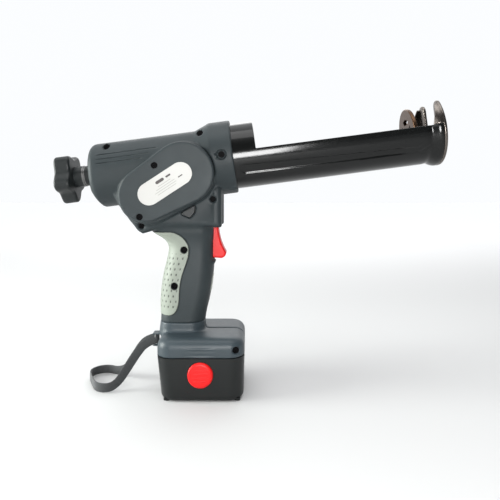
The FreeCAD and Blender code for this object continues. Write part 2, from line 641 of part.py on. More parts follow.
def housing_halves():
    outer = housing_outer()
    shell = outer.cut(housing_inner()).fuse(housing_fittings(outer))
    throat = prism(THROAT, THROAT_HALF + 1)
    shell = shell.cut(soft_layer(insert_region(), 2.0, INSERT_DEEP).cut(throat))
    shell = shell.cut(soft_layer(strip_region(), 2.0, INSERT_DEEP))
    shell = shell.cut(trigger_slot())
    shell = shell.cut(cyl_y(PIN_R + FIT, -13.2, 13.2, *TRIGGER_PIN))
    bores = [
        cyl_x(8.5 + FIT, TUBE_REAR - 1, TUBE_REAR + 9),
        cyl_x(9.0 + FIT, BULKHEAD - 1, BULKHEAD + BULKHEAD_T + 1),
        cyl_y(BUSH_R + FIT, -CASE_HALF - 1, -CASE_HALF + WALL + 1, *SHAFT_AT),
        cyl_y(BUSH_R + FIT, CASE_HALF - 10, CASE_HALF - WALL - 0.2, *SHAFT_AT),
        cyl_y(DRIVE_SHAFT_R + 0.6, -CASE_HALF - 1, -CASE_HALF + WALL + 1, *MOTOR_AT),
    ]
    bores += [cyl_y(SCREW_R + FIT, -CASE_HALF - 1, -17.5, *c) for c in COVER_SCREWS]
    x, z = COLLAR_SCREW
    sink = COLLAR_R - HEAD_T - 0.6
    bores.append(cyl_y(SCREW_R + 0.15, -COLLAR_R - 1, COLLAR_R + 1, x, z))
    bores += [cyl_y(HEAD_R + 0.2, *sorted([side * sink, side * 40]), x, z) for side in (-1, 1)]
    shell = shell.cut([tilt(b) for b in bores])
    window = plate_y(spread(LOCK, CLEAR), -30, -THROAT_HALF + WALL + 1)
    pocket = hull(CASE_1, COVER_R1 + CLEAR, CASE_2, COVER_R2 + CLEAR, -COVER_FACE - 1, -CASE_HALF)
    near, far = near_side(shell).cut([window, tilt(pocket)]), far_side(shell)
    for place in HOUSING_SCREWS:
        near_cut, far_cut = screw_cuts(*place)
        near, far = near.cut(near_cut), far.cut(far_cut)
    return near, far


def housing_screws():
    return group([screw(x, z, face - HEAD_SUNK, face - HEAD_SUNK + 12) for x, z, face in HOUSING_SCREWS])


def foot_screws():
    x, z, face = FOOT_SCREW
    return screw(x, z, face - HEAD_SUNK, face - HEAD_SUNK + 12)


def collar_screws():
    x, z = COLLAR_SCREW
    seat = COLLAR_R - 0.6
    return group([tilt(screw(x, z, seat, seat - CARRIAGE_R + CARRIAGE_T, side)) for side in (-1, 1)])


# ---- gear cover ----
def gear_cover():
    face, back = -COVER_FACE, -CASE_HALF - SEAM
    body = hull(CASE_1, COVER_R1, CASE_2, COVER_R2, face, back)
    body = body.makeFillet(2.2, [e for e in body.Edges if e.BoundBox.YMax < face + 0.01])
    w = COVER_WALL
    shell = body.cut(hull(CASE_1, COVER_R1 - w, CASE_2, COVER_R2 - w, face + w, back + 1))
    for c in COVER_SCREWS:
        shell = shell.fuse(cyl_y(COVER_BOSS_R, face + 1, back, *c).common(body))
        shell = shell.cut(cyl_y(SCREW_R + 0.15, face - 1, back + 1, *c))
        shell = shell.cut(cyl_y(HEAD_R + 0.2, face - 1, face + HEAD_T + 0.6, *c))
    return tilt(shell.removeSplitter())


def cover_screws():
    seat = COVER_FACE - 0.6
    return group([tilt(screw(*c, seat, seat - 18)) for c in COVER_SCREWS])


def rating_label():
    a, b = LABEL_ENDS
    return tilt(hull(a, LABEL_R, b, LABEL_R - 0.01, -COVER_FACE - LABEL_T, -COVER_FACE - 0.01))


# ---- carriage ----
def cartridge_carriage():
    r, inner = CARRIAGE_R, CARRIAGE_R - CARRIAGE_T
    tube = ring(r, inner, SLEEVE_START, TROUGH_END)
    flare = Part.makeCone(r, PLATE_R, PLATE_S - TROUGH_END, V(TROUGH_END, 0, 0), V(1, 0, 0))
    flare = flare.cut(Part.makeCone(inner, PLATE_R - CARRIAGE_T, PLATE_S - TROUGH_END,
                                    V(TROUGH_END, 0, 0), V(1, 0, 0)))
    body = join([tube, flare])
    body = body.cut(box(SLEEVE_END, PLATE_S + 1, -50, 50, TROUGH_EDGE, 60))
    x, z = COLLAR_SCREW
    return tilt(body.cut(cyl_y(SCREW_R + FIT, -50, 50, x, z)))


def front_plate():
    plate = cyl_x(PLATE_R, PLATE_S + 0.02, PLATE_S + PLATE_T)
    slot = cyl_x(SLOT_HALF, PLATE_S - 1, PLATE_S + PLATE_T + 1)
    slot = slot.fuse(box(PLATE_S - 1, PLATE_S + PLATE_T + 1, -SLOT_HALF, SLOT_HALF, 0, 60))
    plate = plate.cut(slot)
    tips = [e for e in plate.Edges if e.CenterOfMass.z > 28 and e.Length < PLATE_T + 0.1]
    plate = plate.makeFillet(4.0, tips) if tips else plate
    return tilt(plate)


# ---- rod ----
def push_rod():
    bottom = -RACK_DROP - ADDENDUM
    root = -RACK_DROP + DEDENDUM
    pitch = math.pi * MODULE
    half = (pitch - BACKLASH) / 4
    slope = math.tan(math.radians(20))
    first = SHAFT_AT[0] + pitch * math.ceil((RACK_START - SHAFT_AT[0]) / pitch)
    points = [(ROD_REAR, ROD_HALF), (ROD_REAR, bottom), (first - pitch / 2 - 1, bottom),
              (first - pitch / 2 - 1, root)]
    for i in range(RACK_TEETH):
        s = first + i * pitch
        points += [(s - half - DEDENDUM * slope, root), (s - half + ADDENDUM * slope, bottom),
                   (s + half - ADDENDUM * slope, bottom), (s + half + DEDENDUM * slope, root)]
    end = first + (RACK_TEETH - 0.5) * pitch + 0.6
    points += [(end, root), (end, bottom), (ROD_FRONT, bottom), (ROD_FRONT, ROD_HALF)]
    rod = prism(points, ROD_HALF)
    stub = cyl_x(STUB_R, STUB_END, ROD_REAR + 1)
    stud = cyl_x(STUD_R, ROD_FRONT - 1, ROD_FRONT + PUSHER_T + 5.5)
    return tilt(join([rod, stub, stud]))


def pusher_disc():
    body = cyl_x(PUSHER_R, ROD_FRONT, ROD_FRONT + PUSHER_T)
    body = body.makeFillet(1.0, body.Edges[:1] + body.Edges[2:])
    body = body.cut(cyl_x(STUD_R + FIT, ROD_FRONT - 1, ROD_FRONT + 9))
    sector = ring(13.0, 8.0, ROD_FRONT - 1, ROD_FRONT + 9)
    keep = box(ROD_FRONT - 2, ROD_FRONT + 10, -2.6, 2.6, -20, 20)
    for turn in (45, 135):
        web = keep.copy()
        web.rotate(V(0, 0, 0), V(1, 0, 0), turn)
        sector = sector.cut(web)
    return tilt(body.cut(sector))


def hexagon(across, x0, x1, bore):
    corner = across / math.sqrt(3)
    points = [V(x0, corner * math.cos(math.radians(60 * i)), corner * math.sin(math.radians(60 * i)))
              for i in range(7)]
    return Part.Face(Part.makePolygon(points)).extrude(V(x1 - x0, 0, 0)).cut(cyl_x(bore, x0 - 1, x1 + 1))


def pusher_nut():
    return tilt(hexagon(10.0, ROD_FRONT + PUSHER_T, ROD_FRONT + PUSHER_T + 4.8, STUD_R + FIT))


def knob():
    points = []
    for i in range(60):
        a = 2 * math.pi * i / 60
        r = KNOB_MEAN + KNOB_WAVE * math.cos(KNOB_LOBES * (a + math.pi / 2))
        points.append(V(KNOB_REAR, r * math.cos(a), r * math.sin(a)))
    outline = Part.BSplineCurve()
    outline.interpolate(points, True)
    rim = Part.Face(Part.Wire([outline.toShape()])).extrude(V(KNOB_RIM - KNOB_REAR, 0, 0))
    rim = rim.makeFillet(2.5, rim.Edges)
    hub = cyl_x(KNOB_HUB, KNOB_RIM - 1, KNOB_FACE)
    whole = join([rim, hub])
    return tilt(whole.cut(cyl_x(6.5 + FIT, STUB_END - 0.6, KNOB_FACE + 1)))


def knob_insert():
    return tilt(ring(6.5, STUB_R + FIT, STUB_END - 0.4, KNOB_FACE))


def knob_washers():
    thick = (ROD_REAR - KNOB_FACE) / 2
    washers = [ring(KNOB_HUB - 0.6 * i, STUB_R + 0.1, KNOB_FACE + i * thick + 0.02, KNOB_FACE + (i + 1) * thick)
               for i in range(2)]
    return group([tilt(w) for w in washers])


def rod_hole(x0, x1):
    half, bottom = ROD_HALF + RUN, -RACK_DROP - ADDENDUM - RUN
    return box(x0, x1, -half, half, bottom, half)


def rod_bush_rear():
    body = cyl_x(8.5, TUBE_REAR - 0.5, TUBE_REAR + 8.5)
    nose = cyl_x(9.4, TUBE_REAR - BUSH_NOSE, TUBE_REAR - 0.05)
    return tilt(join([body, nose]).cut(rod_hole(TUBE_REAR - BUSH_NOSE - 1, TUBE_REAR + 10)))


def rod_bush_front():
    body = cyl_x(9.0, BULKHEAD - 4, BULKHEAD + BULKHEAD_T)
    flange = cyl_x(11.0, BULKHEAD - 2.1, BULKHEAD - 0.1)
    return tilt(join([body, flange]).cut(rod_hole(BULKHEAD - 6, BULKHEAD + 6)))


# ---- drive ----
def gear_space():
    return -GEAR_OUT, -GEAR_OUT + GEAR_W


def output_shaft():
    return tilt(cyl_y(SHAFT_R, -GEAR_OUT - 1.2, CASE_HALF - WALL - 0.6, *SHAFT_AT))


def output_gear():
    y0, y1 = gear_space()
    wheel = gear(GEAR_TEETH, y0, y1, SHAFT_AT, LEAN)
    wheel = wheel.cut(cyl_y(SHAFT_R + FIT, y0 - 1, y1 + 1, *SHAFT_AT))
    web = cyl_y(16.0, y0 - 1, y0 + 1.4, *SHAFT_AT).cut(cyl_y(7.5, y0 - 2, y0 + 2, *SHAFT_AT))
    wheel = wheel.cut(web)
    for i in range(6):
        a = math.radians(60 * i + 30)
        x, z = SHAFT_AT[0] + 11.7 * math.cos(a), SHAFT_AT[1] + 11.7 * math.sin(a)
        wheel = wheel.cut(cyl_y(2.8, y0 - 1, y1 + 1, x, z))
    return tilt(wheel)


def rack_pinion():
    wheel = gear(PINION_TEETH, -ROD_HALF + 0.1, ROD_HALF - 0.1, SHAFT_AT, math.pi / 2 + math.pi / PINION_TEETH)
    return tilt(wheel.cut(cyl_y(SHAFT_R + FIT, -9, 9, *SHAFT_AT)))


def shaft_clips():
    rings = []
    for y0 in (-GEAR_OUT - 0.9, -ROD_HALF - 1.2, ROD_HALF + 0.4):
        rings.append(cyl_y(5.4, y0, y0 + 0.8, *SHAFT_AT).cut(cyl_y(SHAFT_R + FIT, y0 - 1, y0 + 2, *SHAFT_AT)))
    return group([tilt(r) for r in rings])


def shaft_bush(side):
    if side < 0:
        y0, y1 = -CASE_HALF - 0.9, -CASE_HALF + WALL + PLATE_W + 0.2
    else:
        y0, y1 = CASE_HALF - 9.0, CASE_HALF - WALL - 0.3
    return tilt(cyl_y(BUSH_R, y0, y1, *SHAFT_AT).cut(cyl_y(SHAFT_R + RUN, y0 - 1, y1 + 1, *SHAFT_AT)))


def gear_plate():
    y0 = -CASE_HALF + WALL + SEAM
    plate = hull(SHAFT_AT, 12.0, MOTOR_AT, MOTOR_R + 1, y0, y0 + PLATE_W)
    plate = plate.cut(cyl_y(BUSH_R + FIT, y0 - 1, y0 + 4, *SHAFT_AT))
    plate = plate.cut(cyl_y(DRIVE_SHAFT_R + 0.6, y0 - 1, y0 + 4, *MOTOR_AT))
    for c in COVER_SCREWS + motor_screw_places():
        plate = plate.cut(cyl_y(COVER_BOSS_R + 0.2 if c in COVER_SCREWS else 1.3, y0 - 1, y0 + 4, *c))
    return tilt(plate)


def motor_screw_places():
    x, z = MOTOR_AT
    return [(x, z - 10.0), (x, z + 10.0)]


def motor_screws():
    y0 = -CASE_HALF + WALL + SEAM
    return group([tilt(cyl_y(1.25, y0, y0 + PLATE_W + 6, *c)) for c in motor_screw_places()])


def gearbox_face():
    return -CASE_HALF + WALL + PLATE_W + 2 * SEAM


def planetary_gearbox():
    body = cyl_y(MOTOR_R, gearbox_face(), -GEARBOX_END, *MOTOR_AT)
    body = body.cut(cyl_y(DRIVE_SHAFT_R + RUN, gearbox_face() - 1, gearbox_face() + 8, *MOTOR_AT))
    for c in motor_screw_places():
        body = body.cut(cyl_y(1.25 + FIT, gearbox_face() - 1, gearbox_face() + 6.5, *c))
    return tilt(body)


def motor():
    x, z = MOTOR_AT
    can = cyl_y(MOTOR_R - 0.6, -GEARBOX_END + 0.05, MOTOR_END, x, z)
    nose = cyl_y(4.5, MOTOR_END - 1, MOTOR_END + 2.5, x, z)
    tabs = [box(x + dx - 1.4, x + dx + 1.4, MOTOR_END - 1, MOTOR_END + 4, z - 8.4, z - 7.9) for dx in (-5, 5)]
    return tilt(join([can, nose] + tabs))


def drive_pinion():
    y0, y1 = gear_space()
    turn = LEAN + math.pi + math.pi / DRIVE_TEETH
    wheel = gear(DRIVE_TEETH, y0, y1, MOTOR_AT, turn)
    return tilt(join([wheel, cyl_y(DRIVE_SHAFT_R, y0 - 0.6, gearbox_face() + 7.5, *MOTOR_AT)]))


# ---- trigger, switch and lock ----
def trigger():
    px, pz = TRIGGER_PIN
    back, low = TRIGGER_BACK, TRIGGER_LOW
    blade = [
        Part.LineSegment(V(back, 0, low + 0.6), V(back, 0, pz - 3)),
        Part.LineSegment(V(back, 0, pz - 3), V(px - 1, 0, pz + 3.9)),
        Part.LineSegment(V(px - 1, 0, pz + 3.9), V(px + 3, 0, pz + 3.9)),
        Part.LineSegment(V(px + 3, 0, pz + 3.9), V(14.4, 0, pz - 4)),
        Part.Arc(V(14.4, 0, pz - 4), V(16.6, 0, 138.0), V(21.7, 0, 126.6)),
        Part.Arc(V(21.7, 0, 126.6), V(20.4, 0, 122.9), V(16.6, 0, low)),
        Part.LineSegment(V(16.6, 0, low), V(back, 0, low + 0.6)),
    ]
    face = Part.Face(Part.Wire([e.toShape() for e in blade]))
    body = face.extrude(V(0, TRIGGER_HALF, 0)).fuse(face.extrude(V(0, -TRIGGER_HALF, 0))).removeSplitter()
    rims = [e for e in body.Edges
            if abs(abs(e.CenterOfMass.y) - TRIGGER_HALF) < 0.01 and e.CenterOfMass.x > 14.5]
    body = body.makeFillet(2.0, rims)
    hub = cyl_y(4.3, -TRIGGER_HALF, TRIGGER_HALF, px, pz)
    return body.fuse(hub).cut(cyl_y(PIN_R + RUN, -20, 20, px, pz)).removeSplitter()


def trigger_pin():
    return cyl_y(PIN_R, -13.0, 13.0, *TRIGGER_PIN)


def plunger_hole(x0, x1, extra):
    return cyl_x(PLUNGER_R + extra, x0, x1, 0, PLUNGER_Z)


def switch_body():
    x0, x1, half, z0, z1 = SWITCH
    return box(x0, x1, -half, half, z0, z1).cut(plunger_hole(x1 - 10, x1 + 1, RUN))


def switch_plunger():
    nose = TRIGGER_BACK - CLEAR - PLUNGER_R
    stem = plunger_hole(SWITCH[1] - 5.5, nose, 0)
    tip = Part.makeSphere(PLUNGER_R, V(nose, 0, PLUNGER_Z))
    return stem.fuse(tip).removeSplitter()


def trigger_spring():
    length = TRIGGER_BACK - CLEAR - SWITCH[1] - 0.1
    return coil(PLUNGER_R + 1.3, 0.4, length, 5, V(SWITCH[1] + 0.1, 0, PLUNGER_Z), V(1, 0, 0))


def lock_button():
    wall = THROAT_HALF - WALL
    pad = plate_y(LOCK, -THROAT_HALF - LOCK_PROUD, -wall + 0.5)
    pad = pad.makeFillet(0.5, [e for e in pad.Edges if e.BoundBox.YMax < -THROAT_HALF])
    flange = plate_y(spread(LOCK, 1.2), -wall + 0.2, -wall + 1.4)
    return join([pad, flange])


def lock_spring():
    start, end = -(CASE_HALF - 15.0) - 0.1, -(THROAT_HALF - WALL) + 1.5
    at = V(LOCK_SPRING_AT[0], start, LOCK_SPRING_AT[1])
    return coil(3.2, 0.4, start - end, 4, at, V(0, -1, 0))


# ---- contacts and wires in the grip ----
def terminal_block():
    body = box(-20.2, 1.0, -13.0, 13.0, STEM_TOP + 2.5, STEM_TOP + 12)
    for y in (-5.0, 5.0):
        body = body.cut(box(-16.5, -6.5, y - 1.3, y + 1.3, STEM_TOP + 2, STEM_TOP + 8))
    return body


def terminal_clips():
    clips = []
    for y in (-5.0, 5.0):
        for side in (-1, 1):
            edge = sorted([y + side * 0.7, y + side * 1.28])
            clips.append(box(-15.5, -7.5, edge[0], edge[1], STEM_TOP + 3, STEM_TOP + 7.9))
    return group(clips)


def motor_leads():
    start = from_barrel(MOTOR_AT[0], MOTOR_AT[1] - 9.4)
    y = MOTOR_END + 3
    leads = []
    for dx, end in ((-5, -20.0), (5, -13.0)):
        x, z = start[0] + dx, start[1]
        route = [(x, y, z), (x + 0.6, y - 1.4, z - 9), (x + 6, y - 9, z - 15.5),
                 (end - 3, 9.0, 156.5), (end, 5.5, SWITCH[4] + 0.4)]
        leads.append(wire_lead(route, 0.9))
    return group(leads)


def battery_leads():
    low, high = STEM_TOP + 12, SWITCH[3]
    leads = []
    for side in (-1, 1):
        route = [(-4.5, side * 6.0, low), (-5.5, side * 7.2, low + 10), (-8.0, side * 6.4, low + 22),
                 (-8.6, side * 5.0, high)]
        leads.append(wire_lead(route, 0.9))
    return group(leads)


def all_nodes():
    housing_near, housing_far = housing_halves()
    foot_near, foot_far = foot_halves()
    insert_near, insert_far = soft_inserts()
    return {
        "battery_case": battery_case(),
        "battery_lid": battery_lid(),
        "battery_cells": battery_cells(),
        "battery_contacts": battery_contacts(),
        "battery_screws": battery_screws(),
        "release_button_near": release_button(-1),
        "release_button_far": release_button(1),
        "button_spring_near": button_spring(-1),
        "button_spring_far": button_spring(1),
        "foot_near": foot_near,
        "foot_far": foot_far,
        "foot_screws": foot_screws(),
        "strap_pin": strap_pin(),
        "wrist_strap": wrist_strap(),
        "housing_near": housing_near,
        "housing_far": housing_far,
        "housing_screws": housing_screws(),
        "grip_insert_near": insert_near,
        "grip_insert_far": insert_far,
        "grip_strip": soft_layer(strip_region(), INSERT_PROUD, INSERT_DEEP - FIT),
        "gear_cover": gear_cover(),
        "cover_screws": cover_screws(),
        "rating_label": rating_label(),
        "cartridge_carriage": cartridge_carriage(),
        "front_plate": front_plate(),
        "collar_screws": collar_screws(),
        "push_rod": push_rod(),
        "pusher_disc": pusher_disc(),
        "pusher_nut": pusher_nut(),
        "knob": knob(),
        "knob_insert": knob_insert(),
        "knob_washers": knob_washers(),
        "rod_bush_rear": rod_bush_rear(),
        "rod_bush_front": rod_bush_front(),
        "output_shaft": output_shaft(),
        "output_gear": output_gear(),
        "rack_pinion": rack_pinion(),
        "shaft_clips": shaft_clips(),
        "shaft_bush_near": shaft_bush(-1),
        "shaft_bush_far": shaft_bush(1),
        "gear_plate": gear_plate(),
        "motor_screws": motor_screws(),
        "planetary_gearbox": planetary_gearbox(),
        "motor": motor(),
        "drive_pinion": drive_pinion(),
        "trigger": trigger(),
        "trigger_pin": trigger_pin(),
        "trigger_spring": trigger_spring(),
        "switch_body": switch_body(),
        "switch_plunger": switch_plunger(),
        "lock_button": lock_button(),
        "lock_spring": lock_spring(),
        "terminal_block": terminal_block(),
        "terminal_clips": terminal_clips(),
        "motor_leads": motor_leads(),
        "battery_leads": battery_leads(),
    }


def main():
    os.makedirs("parts", exist_ok=True)
    for name, shape in all_nodes().items():
        solids = shape.Solids
        good = shape.isValid() and all(s.isValid() for s in solids)
        print("%-20s solids %2d  volume %9.1f  %s" % (name, len(solids), shape.Volume, "ok" if good else "INVALID"))
        shape.exportStep("parts/%s.step" % name)


main()
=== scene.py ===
import json
import math

import bmesh
import bpy
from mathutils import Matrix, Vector
from mathutils.kdtree import KDTree


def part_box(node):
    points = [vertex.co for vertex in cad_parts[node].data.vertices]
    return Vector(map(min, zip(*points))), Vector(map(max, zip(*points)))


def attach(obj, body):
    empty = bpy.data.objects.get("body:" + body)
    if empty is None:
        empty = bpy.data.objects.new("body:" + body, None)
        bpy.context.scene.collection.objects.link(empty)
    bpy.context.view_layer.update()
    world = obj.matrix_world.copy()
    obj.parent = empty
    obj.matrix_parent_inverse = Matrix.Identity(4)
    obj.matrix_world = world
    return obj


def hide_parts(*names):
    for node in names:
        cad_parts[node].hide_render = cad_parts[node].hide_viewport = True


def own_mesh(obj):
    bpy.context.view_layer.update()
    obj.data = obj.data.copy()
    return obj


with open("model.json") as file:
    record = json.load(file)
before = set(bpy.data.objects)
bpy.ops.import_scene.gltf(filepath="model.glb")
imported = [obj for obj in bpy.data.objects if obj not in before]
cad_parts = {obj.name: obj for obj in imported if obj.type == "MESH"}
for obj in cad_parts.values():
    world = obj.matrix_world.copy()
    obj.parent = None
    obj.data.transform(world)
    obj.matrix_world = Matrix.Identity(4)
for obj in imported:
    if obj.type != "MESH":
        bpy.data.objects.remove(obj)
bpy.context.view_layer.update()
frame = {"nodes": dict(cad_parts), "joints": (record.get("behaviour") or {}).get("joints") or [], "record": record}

MM = 0.001
NODES = frame["nodes"]
RECORD = frame["record"]
MOUNTS = {m["name"]: m for m in RECORD["mounts"]}
JOINT = {j["name"]: j for j in frame["joints"]}
SLOT_OF = {s["node"]: s["material_slot"] for s in RECORD["subparts"]}
AXIS = Vector(JOINT["rod_slide"]["axis"])     # of the barrel, which rises towards the nozzle
SEAT = Vector(MOUNTS["cartridge_seat"]["pos_m"])
AXIS_Z = SEAT.z - SEAT.x * AXIS.z / AXIS.x


def barrel(s, y, z):
    """A point of the barrel frame, in millimetres, as a point of the row frame in metres."""
    return Vector((s * AXIS.x - z * AXIS.z, y, AXIS_Z / MM + s * AXIS.z + z * AXIS.x)) * MM


# ---- camera, floor and light ----
CAMERA_AT, CAMERA_SHIFT = (0.0439, -0.4725, 0.1931), -0.138
STUDIO_WHITE = (0.97, 0.985, 1.0, 1)
ROOM_FRONT, ROOM_BACK, ROOM_TOP, ROOM_RIGHT = 0.14, 1.0, 0.6, 0.45      # light from each side of the room
TO_BACK, TO_TOP, TO_RIGHT = (-0.35, 0.25), (0.60, 0.92), (0.47, 0.85)   # directions over which it changes
FLOOR_COLOUR, FLOOR_HALF, FLOOR_DROP = (0.57, 0.57, 0.57), 4, 0.0002
FLOOR_GLOW, GLOW_SPAN = 0.52, (0.30, 1.4)   # lifts the far floor to the white of the wall behind
LIT_POINT = (0.03, 0, 0.15)
LIGHTS = [                                  # name, place, size, power, colour
    ("flash", (0.05, -0.80, 0.195), (0.20, 0.21), 4.8, (1.0, 1.0, 1.0)),
    ("window", (-0.45, -0.75, 0.50), (0.5, 0.4), 1.1, (1.0, 0.995, 0.98)),
    ("top", (-0.05, -0.25, 1.10), (1.1, 0.5), 4.5, (1.0, 1.0, 1.0)),
    ("left", (-0.95, -0.15, 0.30), (0.5, 0.6), 16.0, (0.96, 1.0, 0.96)),
    ("rear", (0.10, 0.95, 0.75), (1.2, 0.6), 4.0, (1.0, 1.0, 1.0)),
]


def linked(name, data):
    """A new object of this data, in the scene."""
    obj = bpy.data.objects.new(name, data)
    bpy.context.scene.collection.objects.link(obj)
    return obj


def camera():
    """Level camera that faces the gear cover's side, with its view shifted down."""
    data = bpy.data.cameras.new("camera")
    cam = linked("camera", data)
    cam.location = CAMERA_AT
    cam.rotation_euler = (math.pi / 2, 0, 0)
    data.lens, data.sensor_width = 36.0, 36.0
    data.shift_y = CAMERA_SHIFT
    data.clip_start, data.clip_end = 0.01, 20
    bpy.context.scene.camera = cam


def area_light(name, at, size, power, colour):
    """Rectangular lamp that faces the object and doesn't show in the picture."""
    data = bpy.data.lights.new(name, "AREA")
    data.shape, data.size, data.size_y = "RECTANGLE", size[0], size[1]
    data.energy, data.color = power, colour
    lamp = linked(name, data)
    lamp.location = at
    lamp.visible_camera = False
    lamp.rotation_euler = (Vector(LIT_POINT) - Vector(at)).to_track_quat("-Z", "Y").to_euler()


def axes_of(tree, kind):
    """X, Y and Z of a texture coordinate."""
    coord = tree.nodes.new("ShaderNodeTexCoord")
    axes = tree.nodes.new("ShaderNodeSeparateXYZ")
    tree.links.new(coord.outputs[kind], axes.inputs["Vector"])
    return axes.outputs


def fade(tree, source, span, low, high):
    """Smooth change from low to high as the source goes through the span."""
    node = tree.nodes.new("ShaderNodeMapRange")
    node.interpolation_type = "SMOOTHSTEP"
    node.inputs["From Min"].default_value, node.inputs["From Max"].default_value = span
    node.inputs["To Min"].default_value, node.inputs["To Max"].default_value = low, high
    tree.links.new(source, node.inputs["Value"])
    return node.outputs["Result"]


def combined(tree, operation, a, b):
    """What a Math node makes of two sources."""
    node = tree.nodes.new("ShaderNodeMath")
    node.operation = operation
    tree.links.new(a, node.inputs[0])
    tree.links.new(b, node.inputs[1])
    return node.outputs["Value"]


def floor_paint():
    """Pale floor that brightens towards the back of the room."""
    mat = paint("floor_paint", FLOOR_COLOUR, rough=0.8, grain=0, spec=0.2)
    tree = mat.node_tree
    bsdf = tree.nodes["Principled BSDF"]
    bsdf.inputs["Emission Color"].default_value = STUDIO_WHITE
    glow = fade(tree, axes_of(tree, "Object")["Y"], GLOW_SPAN, 0.0, FLOOR_GLOW)
    tree.links.new(glow, bsdf.inputs["Emission Strength"])
    return mat


def studio():
    """Soft room, bright behind and above, dim in front and to the right, with a plain backdrop."""
    view = bpy.context.scene.view_settings
    view.view_transform, view.look = "Standard", "None"
    world = bpy.data.worlds.new("studio")
    world.use_nodes = True
    bpy.context.scene.world = world
    tree = world.node_tree
    way = axes_of(tree, "Generated")
    depth = fade(tree, way["Y"], TO_BACK, ROOM_FRONT, ROOM_BACK)
    height = fade(tree, way["Z"], TO_TOP, 0.0, ROOM_TOP)
    right = fade(tree, way["X"], TO_RIGHT, 1.0, ROOM_RIGHT)
    room = combined(tree, "MULTIPLY", combined(tree, "ADD", depth, height), right)
    seen = tree.nodes.new("ShaderNodeLightPath").outputs["Is Camera Ray"]
    back = tree.nodes["Background"]
    back.inputs["Color"].default_value = STUDIO_WHITE
    tree.links.new(combined(tree, "MAXIMUM", room, seen), back.inputs["Strength"])
    for name, at, size, power, colour in LIGHTS:
        area_light(name, at, size, power, colour)
    h = FLOOR_HALF
    me = bpy.data.meshes.new("floor")
    me.from_pydata([(-h, -h, 0), (h, -h, 0), (h, h, 0), (-h, h, 0)], [], [(0, 1, 2, 3)])
    floor = linked("floor", me)
    floor.location.z = -FLOOR_DROP
    floor.data.materials.append(floor_paint())


# ---- materials ----
DRIFT_SIZE, SHEEN_SIZE = 0.02, 0.006        # of the patches in which colour and roughness change
BUMP_STRENGTH, BUMP_DEEP = 0.35, 0.00012


def paint(name, colour, rough=0.5, metal=0.0, grain=1.0, grain_size=0.0006, vary=0.06,
          rough_vary=0.05, brushed=None, spec=0.5, dust=0.0, painted_shade=0.0):
    """Principled material with fine grain, slow colour drift and a varying roughness.

    brushed stretches the grain along the barrel, dust lightens the pale patches, and painted_shade darkens
    the places that the mesh marks, as painted shade in hollows and creases.
    """
    mat = bpy.data.materials.new(name)
    mat.use_nodes = True
    tree = mat.node_tree
    bsdf = tree.nodes["Principled BSDF"]
    bsdf.inputs["Metallic"].default_value = metal
    bsdf.inputs["Roughness"].default_value = rough
    bsdf.inputs["Base Color"].default_value = (*colour, 1)
    bsdf.inputs["Specular IOR Level"].default_value = spec
    if grain <= 0:
        return mat
    coord = tree.nodes.new("ShaderNodeTexCoord")

    def noise(size, detail, stretch=None):
        tex = tree.nodes.new("ShaderNodeTexNoise")
        tex.inputs["Scale"].default_value = 1 / size
        tex.inputs["Detail"].default_value = detail
        source = coord.outputs["Object"]
        if stretch:
            mapping = tree.nodes.new("ShaderNodeMapping")
            mapping.inputs["Rotation"].default_value = (0, math.asin(AXIS.z), 0)
            mapping.inputs["Scale"].default_value = stretch
            tree.links.new(source, mapping.inputs["Vector"])
            source = mapping.outputs["Vector"]
        tree.links.new(source, tex.inputs["Vector"])
        return tex.outputs["Fac"]

    ramp = tree.nodes.new("ShaderNodeValToRGB")
    ramp.color_ramp.elements[0].position, ramp.color_ramp.elements[1].position = 0.3, 0.75
    ramp.color_ramp.elements[0].color = (*[c * (1 - vary) for c in colour], 1)
    ramp.color_ramp.elements[1].color = (*[min(1, c * (1 + vary) + dust) for c in colour], 1)
    tree.links.new(noise(DRIFT_SIZE, 4), ramp.inputs["Fac"])
    shade = ramp.outputs["Color"]
    # painted shade: the colour darkens where the mesh's attribute marks hollows and creases
    if painted_shade:
        mark = tree.nodes.new("ShaderNodeAttribute")
        mark.attribute_name = "painted_shade"
        mix = tree.nodes.new("ShaderNodeMix")
        mix.data_type = "RGBA"
        tree.links.new(mark.outputs["Fac"], mix.inputs[0])
        tree.links.new(shade, mix.inputs[6])
        mix.inputs[7].default_value = (*[c * (1 - painted_shade) for c in colour], 1)
        shade = mix.outputs[2]
    tree.links.new(shade, bsdf.inputs["Base Color"])
    spread = tree.nodes.new("ShaderNodeMapRange")
    spread.inputs["To Min"].default_value = max(0.02, rough - rough_vary)
    spread.inputs["To Max"].default_value = rough + rough_vary
    tree.links.new(noise(SHEEN_SIZE, 3, brushed), spread.inputs["Value"])
    tree.links.new(spread.outputs["Result"], bsdf.inputs["Roughness"])
    bump = tree.nodes.new("ShaderNodeBump")
    bump.inputs["Strength"].default_value = BUMP_STRENGTH * grain
    bump.inputs["Distance"].default_value = BUMP_DEEP
    tree.links.new(noise(grain_size, 2, brushed), bump.inputs["Height"])
    tree.links.new(bump.outputs["Normal"], bsdf.inputs["Normal"])
    return mat


